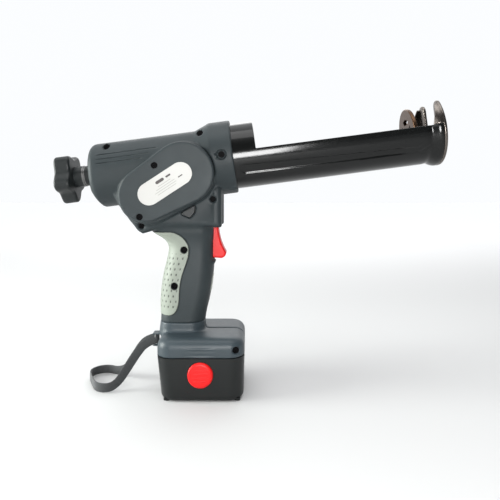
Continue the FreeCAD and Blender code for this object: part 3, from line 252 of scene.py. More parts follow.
ALONG = (0.08, 1, 1)                        # grain drawn out along the barrel
MATERIAL = {
    "housing": paint("housing", (0.0215, 0.0288, 0.0315), rough=0.50, vary=0.08, dust=0.001, spec=0.28),
    # the housing's own plastic, made lighter and bluer here: painted sheen of the bluish light the foot catches
    "foot": paint("foot", (0.031, 0.044, 0.052), rough=0.42, vary=0.08, dust=0.001, spec=0.4),
    "battery": paint("battery", (0.0060, 0.0074, 0.0074), rough=0.33, grain=0.8, vary=0.08, spec=0.34),
    # the grip insert darkens in its slots and along its edges: painted shade
    "soft_grip": paint("soft_grip", (0.225, 0.250, 0.212), rough=0.50, grain=0.8, vary=0.06, spec=0.45,
                       painted_shade=0.88),
    "strip_light": paint("strip_light", (0.30, 0.32, 0.28), rough=0.55, grain=0.8),
    "red_plastic": paint("red_plastic", (0.66, 0.010, 0.010), rough=0.36, grain=0.3, vary=0.05, spec=0.25),
    "label_white": paint("label_white", (0.455, 0.450, 0.432), rough=0.4, grain=0.2, vary=0.02),
    "black_enamel": paint("black_enamel", (0.004, 0.0045, 0.0045), rough=0.14, grain=0.12,
                          grain_size=0.002, vary=0.1, rough_vary=0.04, spec=0.33),
    "knob_plastic": paint("knob_plastic", (0.010, 0.0125, 0.0130), rough=0.42, grain=0.9, vary=0.1, spec=0.3),
    "steel": paint("steel", (0.52, 0.52, 0.52), rough=0.30, metal=1, grain=0.4, brushed=ALONG),
    "plated": paint("plated", (0.160, 0.142, 0.128), rough=0.26, metal=1, grain=0.2, vary=0.15),
    # the pusher disc's brown is a painted reflection of brown surroundings, put into the metal's colour
    "plated_painted_brown_reflection": paint("plated_painted_brown_reflection", (0.088, 0.050, 0.030), rough=0.30, metal=1, grain=0.2, vary=0.15),
    "dark_steel": paint("dark_steel", (0.16, 0.16, 0.16), rough=0.35, metal=1, grain=0.4),
    "spring_steel": paint("spring_steel", (0.40, 0.40, 0.41), rough=0.3, metal=1, grain=0.2),
    "brass": paint("brass", (0.70, 0.50, 0.20), rough=0.3, metal=1, grain=0.3),
    "cell_can": paint("cell_can", (0.10, 0.25, 0.16), rough=0.35, grain=0.2),
    "motor_can": paint("motor_can", (0.33, 0.34, 0.35), rough=0.35, metal=1, grain=0.3),
    "inner_plastic": paint("inner_plastic", (0.02, 0.02, 0.021), rough=0.5, grain=0.7),
    "wire": paint("wire", (0.30, 0.03, 0.02), rough=0.4, grain=0.2),
    "screw_black": paint("screw_black", (0.002, 0.002, 0.0024), rough=0.5, grain=0.3, spec=0.04),
    "print_dark": paint("print_dark", (0.05, 0.04, 0.04), rough=0.5, grain=0),
    "print_light": paint("print_light", (0.30, 0.30, 0.28), rough=0.5, grain=0),
}


# ---- mesh helpers ----
def place(name, me, body, slot=None, material=None, replaces=()):
    """A piece of this mesh that rides on a body; its slot is that of the node that it replaces."""
    obj = linked(name, me)
    slot = slot or SLOT_OF[replaces[0]]
    me.materials.clear()
    me.materials.append(material or MATERIAL[slot])
    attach(obj, body)
    if replaces:
        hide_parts(*replaces)
    return obj


def smooth(me, angle):
    """Smooth shading, with edges that turn by more than the angle kept sharp."""
    for p in me.polygons:
        p.use_smooth = True
    me.set_sharp_from_angle(angle=math.radians(angle))


def final_mesh(obj):
    """The mesh of a work object with its modifiers applied; the object goes."""
    out = bpy.data.meshes.new_from_object(obj.evaluated_get(bpy.context.evaluated_depsgraph_get()))
    bpy.data.objects.remove(obj)
    return out


def modified(me, kind, **settings):
    """The mesh that one modifier makes of me."""
    obj = linked("work", me)
    m = obj.modifiers.new(kind, kind)
    for key, value in settings.items():
        setattr(m, key, value)
    return final_mesh(obj)


WELD = 0.000002


def faced_out(me, weld=0.0):
    """me with its faces turned outwards, after joining vertices that are closer than weld."""
    bm = bmesh.new()
    bm.from_mesh(me)
    if weld:
        bmesh.ops.remove_doubles(bm, verts=bm.verts, dist=weld)
    bmesh.ops.recalc_face_normals(bm, faces=bm.faces)
    bm.to_mesh(me)
    bm.free()
    return me


def welded(node):
    """A node's mesh with its doubled vertices joined."""
    return faced_out(NODES[node].data.copy(), weld=WELD)


def mesh_from(name, verts, faces):
    """Mesh of these points and faces."""
    me = bpy.data.meshes.new(name)
    me.from_pydata([tuple(v) for v in verts], [], faces)
    me.update()
    return me


def turn(parts):
    """Angles of evenly spaced points round a circle."""
    return [2 * math.pi * i / parts for i in range(parts)]


def skin(n, rings):
    """Faces between rings of n points each, with both ends closed."""
    faces = [(k * n + i, k * n + (i + 1) % n, (k + 1) * n + (i + 1) % n, (k + 1) * n + i)
             for k in range(rings - 1) for i in range(n)]
    return faces + [tuple(range(n))[::-1], tuple(range((rings - 1) * n, rings * n))]


def turned(name, centre, side, profile, parts):
    """Solid of revolution about Y, from (radius, distance out) pairs, towards side (-1 or 1)."""
    verts = [Vector((centre.x + r * math.cos(a), side * y, centre.z + r * math.sin(a)))
             for r, y in profile for a in turn(parts)]
    return faced_out(mesh_from(name, verts, skin(parts, len(profile))))


# ---- strap ----
STRAP_ROUTE = [
    (-45.0, 2.4, 44.6), (-53.0, 3.2, 43.0), (-61.5, 6.0, 34.0), (-68.5, 10.5, 21.5),
    (-76.5, 17.0, 9.5), (-86.5, 24.5, 4.6), (-95.5, 30.1, 4.3), (-103.5, 29.7, 4.3),
    (-109.8, 24.8, 4.3), (-112.1, 17.1, 4.3), (-109.6, 9.5, 4.3), (-104.5, -1.5, 4.3),
    (-98.5, -12.3, 4.3), (-91.6, -16.3, 4.3), (-83.6, -15.6, 4.4), (-77.3, -10.9, 8.0),
    (-70.5, -7.0, 18.5), (-62.5, -4.8, 31.5), (-54.5, -3.4, 41.5), (-45.0, -2.4, 44.6),
]
STRAP_W, STRAP_T = 0.0084, 0.0014
UPRIGHT = Vector((0, 0, 1))
SPLINE_STEPS, LEAST_GAP = 10, 0.0004        # points for each control point, and how close two may be


def spline_points(points):
    """Points along the smooth curve that has the given points as its control points."""
    curve = bpy.data.curves.new("route", "CURVE")
    curve.dimensions = "3D"
    spline = curve.splines.new("NURBS")
    spline.points.add(len(points) - 1)
    for p, co in zip(spline.points, points):
        p.co = (*co, 1)
    spline.order_u = 3
    spline.use_endpoint_u = True
    spline.resolution_u = SPLINE_STEPS
    line = [v.co.copy() for v in final_mesh(linked("route", curve)).vertices]
    out = [line[0]]
    for p in line[1:]:
        if (p - out[-1]).length > LEAST_GAP:
            out.append(p)
    return out


def tape(name, line):
    """The strap's tape, standing on edge along a line, with rounded selvedges."""
    half_w, half_t = STRAP_W / 2, STRAP_T / 2
    section = []
    for side, first in ((1, 0), (-1, math.pi)):
        for i in range(5):
            a = first + math.pi * (i / 4)
            section.append((half_t * math.cos(a), side * (half_w - half_t) + half_t * math.sin(a)))
    verts, along = [], [0.0]
    for i, p in enumerate(line):
        ahead = (line[min(i + 1, len(line) - 1)] - line[max(i - 1, 0)]).normalized()
        up = (UPRIGHT - ahead * ahead.dot(UPRIGHT)).normalized()
        out = ahead.cross(up)
        verts += [p + out * a + up * b for a, b in section]
        along.append(along[-1] + ((line[i + 1] - p).length if i + 1 < len(line) else 0))
    n = len(section)
    me = mesh_from(name, verts, skin(n, len(line)))
    uv = me.uv_layers.new(name="UVMap")
    for poly in me.polygons:
        for li, vi in zip(poly.loop_indices, poly.vertices):
            uv.data[li].uv = (along[vi // n], section[vi % n][1])
    smooth(me, 40)
    return me


WEAVE_SIZE, WEAVE_DEEP = 0.0011, 0.0003


def webbing_material():
    """Diagonal weave of a flat strap."""
    mat = bpy.data.materials.new("webbing")
    mat.use_nodes = True
    tree = mat.node_tree
    bsdf = tree.nodes["Principled BSDF"]
    bsdf.inputs["Roughness"].default_value = 0.75
    bsdf.inputs["Sheen Weight"].default_value = 0.25
    bsdf.inputs["Sheen Roughness"].default_value = 0.4
    uv = tree.nodes.new("ShaderNodeUVMap")
    uv.uv_map = "UVMap"
    waves = []
    for degrees in (45, -45):
        mapping = tree.nodes.new("ShaderNodeMapping")
        mapping.inputs["Rotation"].default_value = (0, 0, math.radians(degrees))
        tree.links.new(uv.outputs["UV"], mapping.inputs["Vector"])
        wave = tree.nodes.new("ShaderNodeTexWave")
        wave.inputs["Scale"].default_value = 1 / WEAVE_SIZE / 3.2
        tree.links.new(mapping.outputs["Vector"], wave.inputs["Vector"])
        waves.append(wave.outputs["Fac"])
    weave = combined(tree, "MULTIPLY", *waves)
    ramp = tree.nodes.new("ShaderNodeValToRGB")
    ramp.color_ramp.elements[0].color = (0.016, 0.018, 0.019, 1)
    ramp.color_ramp.elements[1].color = (0.075, 0.080, 0.084, 1)
    tree.links.new(weave, ramp.inputs["Fac"])
    tree.links.new(ramp.outputs["Color"], bsdf.inputs["Base Color"])
    bump = tree.nodes.new("ShaderNodeBump")
    bump.inputs["Strength"].default_value = 0.6
    bump.inputs["Distance"].default_value = WEAVE_DEEP
    tree.links.new(weave, bump.inputs["Height"])
    tree.links.new(bump.outputs["Normal"], bsdf.inputs["Normal"])
    return mat


def strap():
    """The wrist strap's loop, and the short bight of it round the pin in the lug."""
    line = spline_points([Vector(p) * MM for p in STRAP_ROUTE])
    MATERIAL["webbing"] = webbing_material()
    piece = place("strap_tape", tape("strap_tape", line), "gun", replaces=("wrist_strap",))
    start, end = line[0], line[-1]
    low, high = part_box("strap_pin")
    middle, radius, bend = (low + high) / 2, abs(start.y), []
    for i in range(13):
        a = math.pi / 2 - math.pi * i / 12
        bend.append(Vector((middle.x + radius * math.cos(a), radius * math.sin(a), start.z)))
    bight = place("strap_bight", tape("strap_bight", [start] + bend + [end]), "gun", slot="webbing")


camera()
strap()
studio()


# ---- moulded shells ----
SOFT_PASSES, SOFT_STEPS, LEAST_SOFT = 60, 20, 0.04      # extra smoothing, and the levels it comes in


def remoulded(me, voxel, passes, soft=None, keep=1.0, push=None):
    """The mesh remade in even cells and smoothed, which rounds its edges.

    soft(point), from 0 to 1, says where it is rounded more. push(point, normal) moves a point, all in
    millimetres. keep is the share of the faces that is left.
    """
    me = modified(me, "REMESH", mode="VOXEL", voxel_size=voxel, use_smooth_shade=True)
    obj = linked("work", me)
    even = obj.modifiers.new("even", "SMOOTH")
    even.factor, even.iterations = 0.5, passes
    if soft:
        group = obj.vertex_groups.new(name="soft")
        levels = {}
        for v in me.vertices:
            w = soft(v.co)
            if w > LEAST_SOFT:
                levels.setdefault(round(w * SOFT_STEPS), []).append(v.index)
        for w, members in levels.items():
            group.add(members, w / SOFT_STEPS, "REPLACE")
        more = obj.modifiers.new("more", "SMOOTH")
        more.factor, more.iterations, more.vertex_group = 0.5, SOFT_PASSES, "soft"
    out = final_mesh(obj)
    if push:
        normals = [v.normal.copy() for v in out.vertices]
        for v, n in zip(out.vertices, normals):
            v.co = v.co + push(v.co / MM, n) * MM
    return modified(out, "DECIMATE", ratio=keep) if keep < 1 else out


def carved(me, cutters):
    """me with each cutter mesh taken away."""
    for cutter in cutters:
        tool = linked("tool", cutter)
        me = modified(me, "BOOLEAN", operation="DIFFERENCE", solver="MANIFOLD", object=tool)
        bpy.data.objects.remove(tool)
    return me


def bar(corners):
    """Closed hull of eight points: four at one end, four at the other."""
    return faced_out(mesh_from("bar", corners, skin(4, 2)))


TUBE_R, GROOVE_REAR = 28.4, -92.0
GROOVES = ((16.1, -38.5), (12.0, -45.5), (8.3, -53.0))                  # height, and where it ends
GROOVE_SECTION = ((-0.55, 1.0), (-0.2, -0.75), (0.2, -0.75), (0.55, 1.0))


def tube_grooves(side):
    """Three fine grooves along the barrel housing."""
    cutters = []
    for z, end in GROOVES:
        y = math.sqrt(TUBE_R ** 2 - z ** 2)
        corners = [barrel(s, side * (y + dy), z + dz)
                   for s in (GROOVE_REAR, end) for dz, dy in GROOVE_SECTION]
        cutters.append(bar(corners))
    return cutters


THROAT_Z, THROAT_FRONT, FOOT_Z, ROUND_REACH = 152.0, 4.0, 55.5, 5.0


def junction(point):
    """How much the moulding is rounded: most where the grip meets the throat and the foot."""
    x, z = point.x / MM, point.z / MM
    throat = max(0.0, 1 - abs(z - THROAT_Z) / ROUND_REACH) if x < THROAT_FRONT else 0.0
    foot = max(0.0, 1 - abs(z - FOOT_Z) / ROUND_REACH)
    return max(throat, foot)


def step(value, start, end):
    """0 before start, 1 after end, smooth between."""
    t = min(1.0, max(0.0, (value - start) / (end - start)))
    return t * t * (3 - 2 * t)


BAND_X, BAND_TOP, BAND_HIGH = 10.9, 187.5, 0.8
BAND_SIDE, BAND_Z = 15, (150, 190)          # the throat's side, and the heights between which the band lies
BAND_EDGE, BAND_LIP = (-0.4, 0.5), 1.2      # over which its rear and top edges rise
BAND_DIP, BAND_RUN = 2.0, 3                 # its top is this much lower at its rear, over this distance
LEDGE_Z, LEDGE_HIGH, LEDGE_HALF, LEDGE_REACH = 117.6, 1.5, 1.9, 5
LEDGE_FRONT, LEDGE_WIDE = 6, (-13, -8)      # the grip's front, and where the ledge fades towards its sides


def housing_push(p, n):
    """Raised band down the throat's front edge, and the finger ledge under the trigger."""
    if abs(p.y) > BAND_SIDE and BAND_Z[0] < p.z < BAND_Z[1]:
        top = BAND_TOP - BAND_DIP * (1 - step(p.x, BAND_X, BAND_X + BAND_RUN))
        rear = step(p.x, BAND_X + BAND_EDGE[0], BAND_X + BAND_EDGE[1])
        return n * BAND_HIGH * rear * step(-p.z, -top, -top + BAND_LIP)
    if p.x > LEDGE_FRONT and abs(p.z - LEDGE_Z) < LEDGE_REACH:
        rise = math.exp(-((p.z - LEDGE_Z) / LEDGE_HALF) ** 2) * step(-abs(p.y), *LEDGE_WIDE)
        return Vector((LEDGE_HIGH * rise * max(0.0, n.x), 0, 0))
    return Vector((0, 0, 0))


COLLAR_SCREW = (19.1, 1.5)
SPOT_R, SPOT_GROOVE = 5.0, 0.8              # radius with the groove, and the groove's width
SPOT_AT, SPOT_DEEP, SPOT_OUT = 33.0, 32.1, 40.0         # how far out the face, groove and cutter lie


def spot_face(side):
    """Flat ring round the collar's screw, with a groove round the ring."""
    at, flat = barrel(COLLAR_SCREW[0], 0, COLLAR_SCREW[1]), SPOT_R - SPOT_GROOVE
    profile = [(flat, SPOT_AT), (flat, SPOT_DEEP), (SPOT_R, SPOT_DEEP), (SPOT_R, SPOT_OUT)]
    return turned("spot", at, side, [(r * MM, y * MM) for r, y in profile], 48)


LOCK_ROOM = 1.04                            # size of the room cut for the lock button, against the button


def pressed_lock():
    """Room for the lock button at the end of its travel."""
    me = welded("lock_button")
    middle = sum((v.co for v in me.vertices), Vector()) / len(me.vertices)
    shift = Vector(JOINT["lock_press"]["axis"]) * JOINT["lock_press"]["range_m"][1]
    for v in me.vertices:
        v.co = middle + (v.co - middle) * LOCK_ROOM + shift
    return me


NOTCH_Z, NOTCH_HALF, NOTCH_HIGH, NOTCH_SIDE, PILLOW = 43.1, 15.5, 4.6, 30, 1.5


def foot_push(p, n):
    """Swells the finger notch on the side into a flat pillow, whichever way the face turns."""
    u, w = p.x / NOTCH_HALF, (p.z - NOTCH_Z) / NOTCH_HIGH
    if abs(u) < 1 and abs(w) < 1 and abs(p.y) > NOTCH_SIDE:
        return Vector((0, math.copysign(PILLOW * (1 - u * u) * (1 - w * w), p.y), 0))
    return Vector((0, 0, 0))


for side, name in ((-1, "near"), (1, "far")):
    node = "housing_" + name
    shell = remoulded(welded(node), voxel=0.0009, passes=3, soft=junction, keep=0.45, push=housing_push)
    room = [pressed_lock()] if name == "near" else []
    shell = carved(shell, tube_grooves(side) + [spot_face(side)] + room)
    smooth(shell, 50)
    place("shell_" + name, shell, "gun", replaces=(node,))
    node = "foot_" + name
    shell = remoulded(welded(node), voxel=0.0008, passes=3, soft=junction, keep=0.5, push=foot_push)
    smooth(shell, 50)
    place("base_" + name, shell, "gun", material=MATERIAL["foot"], replaces=(node,))


# ---- soft inserts ----
WRAP_CORNER = 13.5                          # radius of the grip's rear corners
DIMPLE_PITCH, DIMPLE_ROW = 5.6, 4.9
DIMPLE_SIZE, DIMPLE_DEEP = (0.80, 1.25), 0.55
DIMPLE_Z, DIMPLE_FRONT = (75.0, 127.0), 3.0
WALL_FACING, SKIN_FACING = 0.25, 0.6        # less than the first is a side wall, more than the second the skin
RIM_SHADE = (0.45, 1.0)                      # distance from a side wall over which the painted shade along the rim fades


def wrap_place(me):
    """Distance round the grip, height and outward direction at each vertex, in millimetres."""
    corner, rear = WRAP_CORNER, {}
    for v in me.vertices:
        key = round(v.co.z / MM)
        rear[key] = min(rear.get(key, 1e9), v.co.x / MM)
    half = max(abs(v.co.y) for v in me.vertices) / MM
    places = []
    for v in me.vertices:
        x, y, z = v.co.x / MM, abs(v.co.y) / MM, v.co.z / MM
        side = 1 if v.co.y > 0 else -1
        cx, cy = rear[round(z)] + corner, half - corner
        if x > cx:
            along, out = x - cx, Vector((0, side, 0))
        elif y > cy:
            along = -corner * math.atan2(cx - x, y - cy)
            out = Vector((x - cx, side * (y - cy), 0)).normalized()
        else:
            along, out = -corner * math.pi / 2 - (cy - y), Vector((-1, 0, 0))
        places.append((along, z, out))
    return places


def dimpled(node):
    """Soft insert with staggered slots pressed into its rear half; the slots and its edges by the side walls are
    marked for painted shade.
    """
    me = remoulded(welded(node), voxel=0.00045, passes=2)
    places = wrap_place(me)
    normals = [v.normal.copy() for v in me.vertices]
    walls = [v.co.copy() for v, n, p in zip(me.vertices, normals, places) if n.dot(p[2]) < WALL_FACING]
    near = KDTree(len(walls))
    for i, co in enumerate(walls):
        near.insert(co, i)
    near.balance()
    marks = []
    for v, n, (along, z, out) in zip(me.vertices, normals, places):
        facing = n.dot(out)
        # painted shade along the edges where the insert meets its side walls
        mark = 1 - step(near.find(v.co)[2] / MM, *RIM_SHADE)
        row = round(z / DIMPLE_ROW)
        shift = DIMPLE_PITCH / 2 if row % 2 else 0
        column = round((along - shift) / DIMPLE_PITCH)
        d = math.hypot((along - shift - column * DIMPLE_PITCH) / DIMPLE_SIZE[0],
                       (z - row * DIMPLE_ROW) / DIMPLE_SIZE[1])
        if facing > SKIN_FACING and d < 1 and along < DIMPLE_FRONT and DIMPLE_Z[0] < z < DIMPLE_Z[1]:
            v.co = v.co - n * (DIMPLE_DEEP * (1 - d * d) * MM)
            # painted shade in the slot, darkest at its middle
            mark = max(mark, math.sqrt(1 - d * d))
        marks.append(mark)
    me.attributes.new("painted_shade", "FLOAT", "POINT").data.foreach_set("value", marks)
    smooth(me, 60)
    return me


for name in ("near", "far"):
    node = "grip_insert_" + name
    place("soft_" + name, dimpled(node), "gun", replaces=(node,))


RIB_PITCH, RIB_DEEP, STRIP_FACING = 2.1, 0.25, 0.4


def ribbed_strip():
    """The light strip on the grip's front, with ribs across it."""
    me = remoulded(welded("grip_strip"), voxel=0.0004, passes=2)
    normals = [v.normal.copy() for v in me.vertices]
    for v, n in zip(me.vertices, normals):
        if n.x > STRIP_FACING:
            wave = 0.5 - 0.5 * math.cos(2 * math.pi * v.co.z / MM / RIB_PITCH)
            v.co = v.co - n * (RIB_DEEP * wave * MM)
    smooth(me, 60)
    return me


place("strip_ribbed", ribbed_strip(), "gun", replaces=("grip_strip",))


# ---- carriage and front cup ----
CARRIAGE_R, CARRIAGE_T, TROUGH_EDGE = 30.5, 1.6, 3.4
SLEEVE_START, SLEEVE_END, PLATE_S, PLATE_T, PLATE_R = 11.9, 49.9, 216.5, 3.0, 33.2
PINCH_S, PINCH, PINCH_HALF, FLARE = 206.5, 0.5, 2.6, (206.0, 215.0)    # waist behind the cup, and its flare
FLUTE = ((39.0, 62.5), (190.5, 56.5))       # ends of the flute: distance along, degrees from the bottom
FLUTE_HALF, FLUTE_DEEP, FLUTE_EDGE, FLUTE_FADE = (4.9, 3.3), 1.4, (-1.10, -0.68), 0.6
CREASE_DEEP, CREASE_EDGE = 0.45, (-1.5, -0.2)
CREASES = [((191.0, 0.0), (198.5, 4.0)), ((191.0, 0.0), (198.5, -4.0)), ((198.0, -1.5), (203.5, 2.0))]


def carriage_radius(s):
    """The wall's outer radius at this distance along the barrel."""
    pinch = -PINCH * math.exp(-((s - PINCH_S) / PINCH_HALF) ** 2)
    return CARRIAGE_R + pinch + (PLATE_R - CARRIAGE_R) * step(s, *FLARE)


def to_segment(p, a, b):
    """Distance of p from the segment ab, and how far along it is."""
    ab = (b[0] - a[0], b[1] - a[1])
    t = ((p[0] - a[0]) * ab[0] + (p[1] - a[1]) * ab[1]) / (ab[0] ** 2 + ab[1] ** 2)
    t = min(1.0, max(0.0, t))
    return math.hypot(p[0] - a[0] - t * ab[0], p[1] - a[1] - t * ab[1]), t


def flute_depth(s, degrees):
    """How far the wall is pressed in at this place."""
    arc = CARRIAGE_R * math.radians(1)
    p = (s, abs(degrees) * arc)
    a, b = [(e[0], e[1] * arc) for e in FLUTE]
    d, t = to_segment(p, a, b)
    half = FLUTE_HALF[0] + (FLUTE_HALF[1] - FLUTE_HALF[0]) * t
    deep = FLUTE_DEEP * step(-d / half, *FLUTE_EDGE) * (1 - FLUTE_FADE * step(t, 0.9, 1.0))
    for c, e in CREASES:
        d, _ = to_segment(p, (c[0], b[1] + c[1]), (e[0], b[1] + e[1]))
        deep = max(deep, CREASE_DEEP * step(-d, *CREASE_EDGE))
    return deep


def grid_shell(name, outer, inner, present, wrap):
    """Closed wall between two grids of points; present(i, j) says which cells are there."""
    rows, cols = len(outer), len(outer[0])
    count = cols if wrap else cols - 1
    back, faces = rows * cols, []

    def there(i, j):
        j = j % cols if wrap else j
        return 0 <= i < rows - 1 and 0 <= j < count and present(i, j)

    for i in range(rows - 1):
        for j in range(count):
            if not there(i, j):
                continue
            k = (j + 1) % cols
            a, b, c, d = i * cols + j, i * cols + k, (i + 1) * cols + k, (i + 1) * cols + j
            faces += [(a, b, c, d), (back + d, back + c, back + b, back + a)]
            for ni, nj, p, q in ((i - 1, j, a, b), (i, j + 1, b, c), (i + 1, j, c, d), (i, j - 1, d, a)):
                if not there(ni, nj):
                    faces.append((q, p, back + p, back + q))
    me = mesh_from(name, [p for grid in (outer, inner) for row in grid for p in row], faces)
    bm = bmesh.new()
    bm.from_mesh(me)
    bmesh.ops.delete(bm, geom=[v for v in bm.verts if not v.link_faces], context="VERTS")
    bmesh.ops.recalc_face_normals(bm, faces=bm.faces)
    bm.to_mesh(me)
    bm.free()
    return modified(me, "BEVEL", width=0.0005, segments=3, limit_method="ANGLE",
                    angle_limit=math.radians(60))


def on_wall(s, degrees, radius):
    """The point at this distance along, and this many degrees round from the bottom."""
    a = math.radians(degrees)
    return barrel(s, -radius * math.sin(a), -radius * math.cos(a))


def spaced(start, end, gap):
    """Even steps of about gap from start up to, but not at, end."""
    n = max(1, round((end - start) / gap))
    return [start + (end - start) * i / n for i in range(n)]


EDGE = 90 + math.degrees(math.asin(TROUGH_EDGE / CARRIAGE_R))
FINE_S, FINE_LOW, FINE_HIGH = 186, 44, 75   # the creases start here, and the flute lies between these degrees


def carriage():
    """Half tube with a full ring at the rear, in finer cells where something is pressed into it."""
    rear = spaced(SLEEVE_START, SLEEVE_END, 1.0)
    along = rear + spaced(SLEEVE_END, FINE_S, 2.2) + spaced(FINE_S, PLATE_S, 0.9) + [PLATE_S]
    low = spaced(-EDGE, -FINE_HIGH, 2.4) + spaced(-FINE_HIGH, -FINE_LOW, 1.1)
    low += spaced(-FINE_LOW, FINE_LOW, 2.6)
    low += spaced(FINE_LOW, FINE_HIGH, 1.1) + spaced(FINE_HIGH, EDGE, 2.4)
    around = low + spaced(EDGE, 360 - EDGE, 3.0)
    outer, inner = [], []
    for s in along:
        r = carriage_radius(s)
        deep = [flute_depth(s, d) if abs(d) < EDGE else 0.0 for d in around]
        outer.append([on_wall(s, d, r - p) for d, p in zip(around, deep)])
        inner.append([on_wall(s, d, r - CARRIAGE_T - p) for d, p in zip(around, deep)])
    me = grid_shell("carriage", outer, inner, lambda i, j: i < len(rear) or j < len(low), True)
    smooth(me, 40)
    return me


def merged(name, meshes):
    """One mesh of several."""
    bm = bmesh.new()
    for me in meshes:
        bm.from_mesh(me)
    out = bpy.data.meshes.new(name)
    bm.to_mesh(out)
    bm.free()
    return out


CUP_REAR = (208.8, 214.0)                   # rear edge of the cup's wall at the trough and at the tips
SLOT_HALF, TIP_R = 12.9, 6.0                # the slot's half width and the round of the tines' tips
TIP_BACK, EDGE_GAP = 2.0, 0.4               # degrees between the cup's wall and the tips, and the trough's edge
CUP_INTO, CUP_SUNK, PLATE_GAP = 0.8, 0.05, 0.02


def cup_outline():
    """The plate's outline across the barrel (y, z), with the slot open at the top."""
    cy = SLOT_HALF + TIP_R
    cz = math.sqrt((PLATE_R - TIP_R) ** 2 - cy ** 2)
    lean = math.atan2(cz, cy)
    half = []
    for i in range(13):
        a = math.pi / 2 * i / 12
        half.append((SLOT_HALF * math.sin(a), -SLOT_HALF * math.cos(a)))
    for i in range(11):
        a = math.pi + (lean - math.pi) * i / 10
        half.append((cy + TIP_R * math.cos(a), cz + TIP_R * math.sin(a)))
    for i in range(1, 41):
        a = lean - (lean + math.pi / 2) * i / 40
        half.append((PLATE_R * math.cos(a), PLATE_R * math.sin(a)))
    other = [(-y, z) for y, z in half[1:-1]][::-1]
    return half + other, 90 + math.degrees(lean)


def cup_plate(outline):
    """The flat plate, with rounded edges."""
    verts = [barrel(s, y, z) for s in (PLATE_S + PLATE_GAP, PLATE_S + PLATE_T) for y, z in outline]
    me = mesh_from("plate", verts, skin(len(outline), 2))
    bm = bmesh.new()
    bm.from_mesh(me)
    bmesh.ops.recalc_face_normals(bm, faces=bm.faces)
    caps = [f for f in bm.faces if len(f.verts) > 4]
    bmesh.ops.bevel(bm, geom=[e for f in caps for e in f.edges], offset=0.0009, segments=3,
                    affect="EDGES", profile=0.5, clamp_overlap=True)
    bm.to_mesh(me)
    bm.free()
    return me


def front_cup():
    """The front plate with the curved side walls behind its tines."""
    outline, tip = cup_outline()
    tip -= TIP_BACK
    walls = []
    for side in (1, -1):
        around = spaced(EDGE + EDGE_GAP, tip, 1.8) + [tip]
        outer, inner = [], []
        for i in range(9):
            row_out, row_in = [], []
            for d in around:
                share = (d - EDGE) / (tip - EDGE)
                rear = CUP_REAR[0] + (CUP_REAR[1] - CUP_REAR[0]) * share
                s = rear + (PLATE_S + CUP_INTO - rear) * i / 8
                r = carriage_radius(s) - CUP_SUNK
                row_out.append(on_wall(s, side * d, r))
                row_in.append(on_wall(s, side * d, r - CARRIAGE_T))
            outer.append(row_out)
            inner.append(row_in)
        walls.append(grid_shell("wall", outer, inner, lambda i, j: True, False))
    me = merged("front_cup", [cup_plate(outline)] + walls)
    smooth(me, 40)
    return me


place("carriage_pressed", carriage(), "gun", replaces=("cartridge_carriage",))
place("front_cup", front_cup(), "gun", replaces=("front_plate",))


# ---- battery buttons ----
BUTTON_FLAT, BUTTON_FALL = 8.5, 2.1         # radius of the flat face, and how far its edge falls away
FLANGE_WIDE, FLANGE_THICK, FACE_SUNK = 1.6, 1.4, 0.1
BUTTON_LINES = (-4.8, -1.6, 1.6, 4.8)
LINE_REACH, LINE_SUNK, LINE_R = 7.2, 0.30, 0.6


def rod_between(a, b, r, parts=10):
    """Thin round bar with closed ends."""
    run = (b - a).normalized()
    side = run.orthogonal().normalized()
    other = run.cross(side)
    verts = [p + (side * math.cos(t) + other * math.sin(t)) * r for p in (a, b) for t in turn(parts)]
    return faced_out(mesh_from("bar", verts, skin(parts, 2)))


def button(node, side):
    """Round button with a domed edge, a flange behind it and ribs across its face."""
    low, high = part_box(node)
    centre, flange = (low + high) / 2, (high.x - low.x) / 2
    radius, flat = flange - FLANGE_WIDE * MM, BUTTON_FLAT * MM
    face = (high.y if side > 0 else -low.y) - FACE_SUNK * MM
    inner = -high.y if side < 0 else low.y
    profile = [(flat, face)]
    for i in range(1, 9):
        a = math.pi / 2 * i / 8
        profile.append((flat + (radius - flat) * math.sin(a), face - BUTTON_FALL * MM * (1 - math.cos(a))))
    shoulder = inner + FLANGE_THICK * MM
    profile += [(radius, shoulder), (flange, shoulder), (flange, inner)]
    meshes = [turned(node, centre, side, profile, 96)]
    for dz in BUTTON_LINES:
        half = math.sqrt(LINE_REACH ** 2 - dz ** 2) * MM
        z, y = centre.z + dz * MM, side * (face - LINE_SUNK * MM)
        ends = [Vector((centre.x + x, y, z)) for x in (-half, half)]
        meshes.append(rod_between(*ends, LINE_R * MM))
    me = merged(node, meshes)
    smooth(me, 40)
    return me


for name, side in (("near", -1), ("far", 1)):
    node = "release_button_" + name
    place("button_" + name, button(node, side), node, replaces=(node,))


# ---- springs, each riding on its body ----
def coil(name, node, body):
    """A copy of a spring node's mesh that rides on a body, in place of the node."""
    piece = place(name, NODES[node].data.copy(), body, replaces=(node,))
    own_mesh(piece)


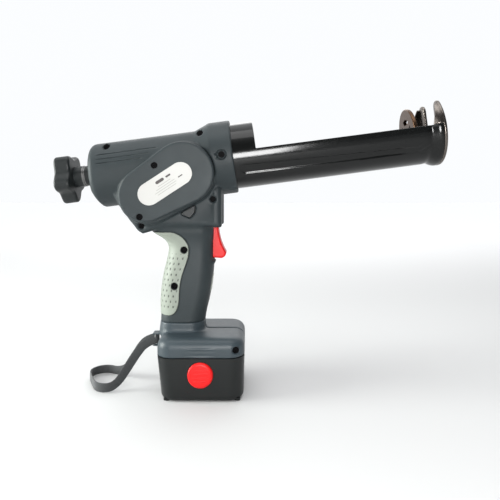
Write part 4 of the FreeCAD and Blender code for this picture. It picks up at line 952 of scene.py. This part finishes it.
coil("coil_near", "button_spring_near", "battery")
coil("coil_far", "button_spring_far", "battery")
coil("coil_lock", "lock_spring", "gun")
coil("coil_trigger", "trigger_spring", "gun")


# ---- plain printing on the label ----
LABEL_MIDDLE, LABEL_LEAN = (-32.6, -17.55), math.atan2(14.1, 29.4)
PRINT_PROUD, PRINT_SUNK = 0.03, 0.1         # how far the print stands out of the label and reaches into it
PRINT = [                                   # along, across, length, height, dark
    (-2.4, 4.4, 8.4, 2.7, True), (6.2, 4.4, 5.0, 1.7, True), (15.0, -1.6, 4.6, 1.0, True),
    (0.0, 0.9, 13.0, 0.55, False), (0.0, -1.2, 19.0, 0.55, False), (-1.0, -3.2, 22.0, 0.55, False),
    (-1.0, -5.2, 19.0, 0.55, False),
]


def print_bar(along, across, length, height):
    """Flat bar with round ends on the label."""
    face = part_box("rating_label")[0].y
    points = []
    for end, first in ((1, -math.pi / 2), (-1, math.pi / 2)):
        for i in range(7):
            a = first + math.pi * i / 6
            points.append((along + end * (length - height) / 2 + height / 2 * math.cos(a),
                           across + height / 2 * math.sin(a)))
    c, t = math.cos(LABEL_LEAN), math.sin(LABEL_LEAN)
    x, z = LABEL_MIDDLE
    flat = [barrel(x + a * c - b * t, 0, z + a * t + b * c) for a, b in points]
    verts = [Vector((p.x, y, p.z)) for y in (face - PRINT_PROUD * MM, face + PRINT_SUNK * MM) for p in flat]
    return faced_out(mesh_from("bar", verts, skin(len(flat), 2)))


for tone, dark in (("print_dark", True), ("print_light", False)):
    bars = [print_bar(*p[:4]) for p in PRINT if p[4] == dark]
    place("label_" + tone, merged(tone, bars), "gun", slot="label_white", material=MATERIAL[tone])


# ---- the CAD pieces that keep their shape ----
REPAINTED = {                               # nodes that show another material than their slot's
    "housing_screws": "screw_black", "cover_screws": "screw_black", "foot_screws": "screw_black",
    "collar_screws": "screw_black", "battery_screws": "battery", "pusher_disc": "plated_painted_brown_reflection",
    "rod_bush_rear": "knob_plastic", "knob_washers": "dark_steel",
}
for name, obj in NODES.items():
    if obj.hide_render:
        continue
    obj.data.materials.clear()
    obj.data.materials.append(MATERIAL[REPAINTED.get(name, SLOT_OF[name])])
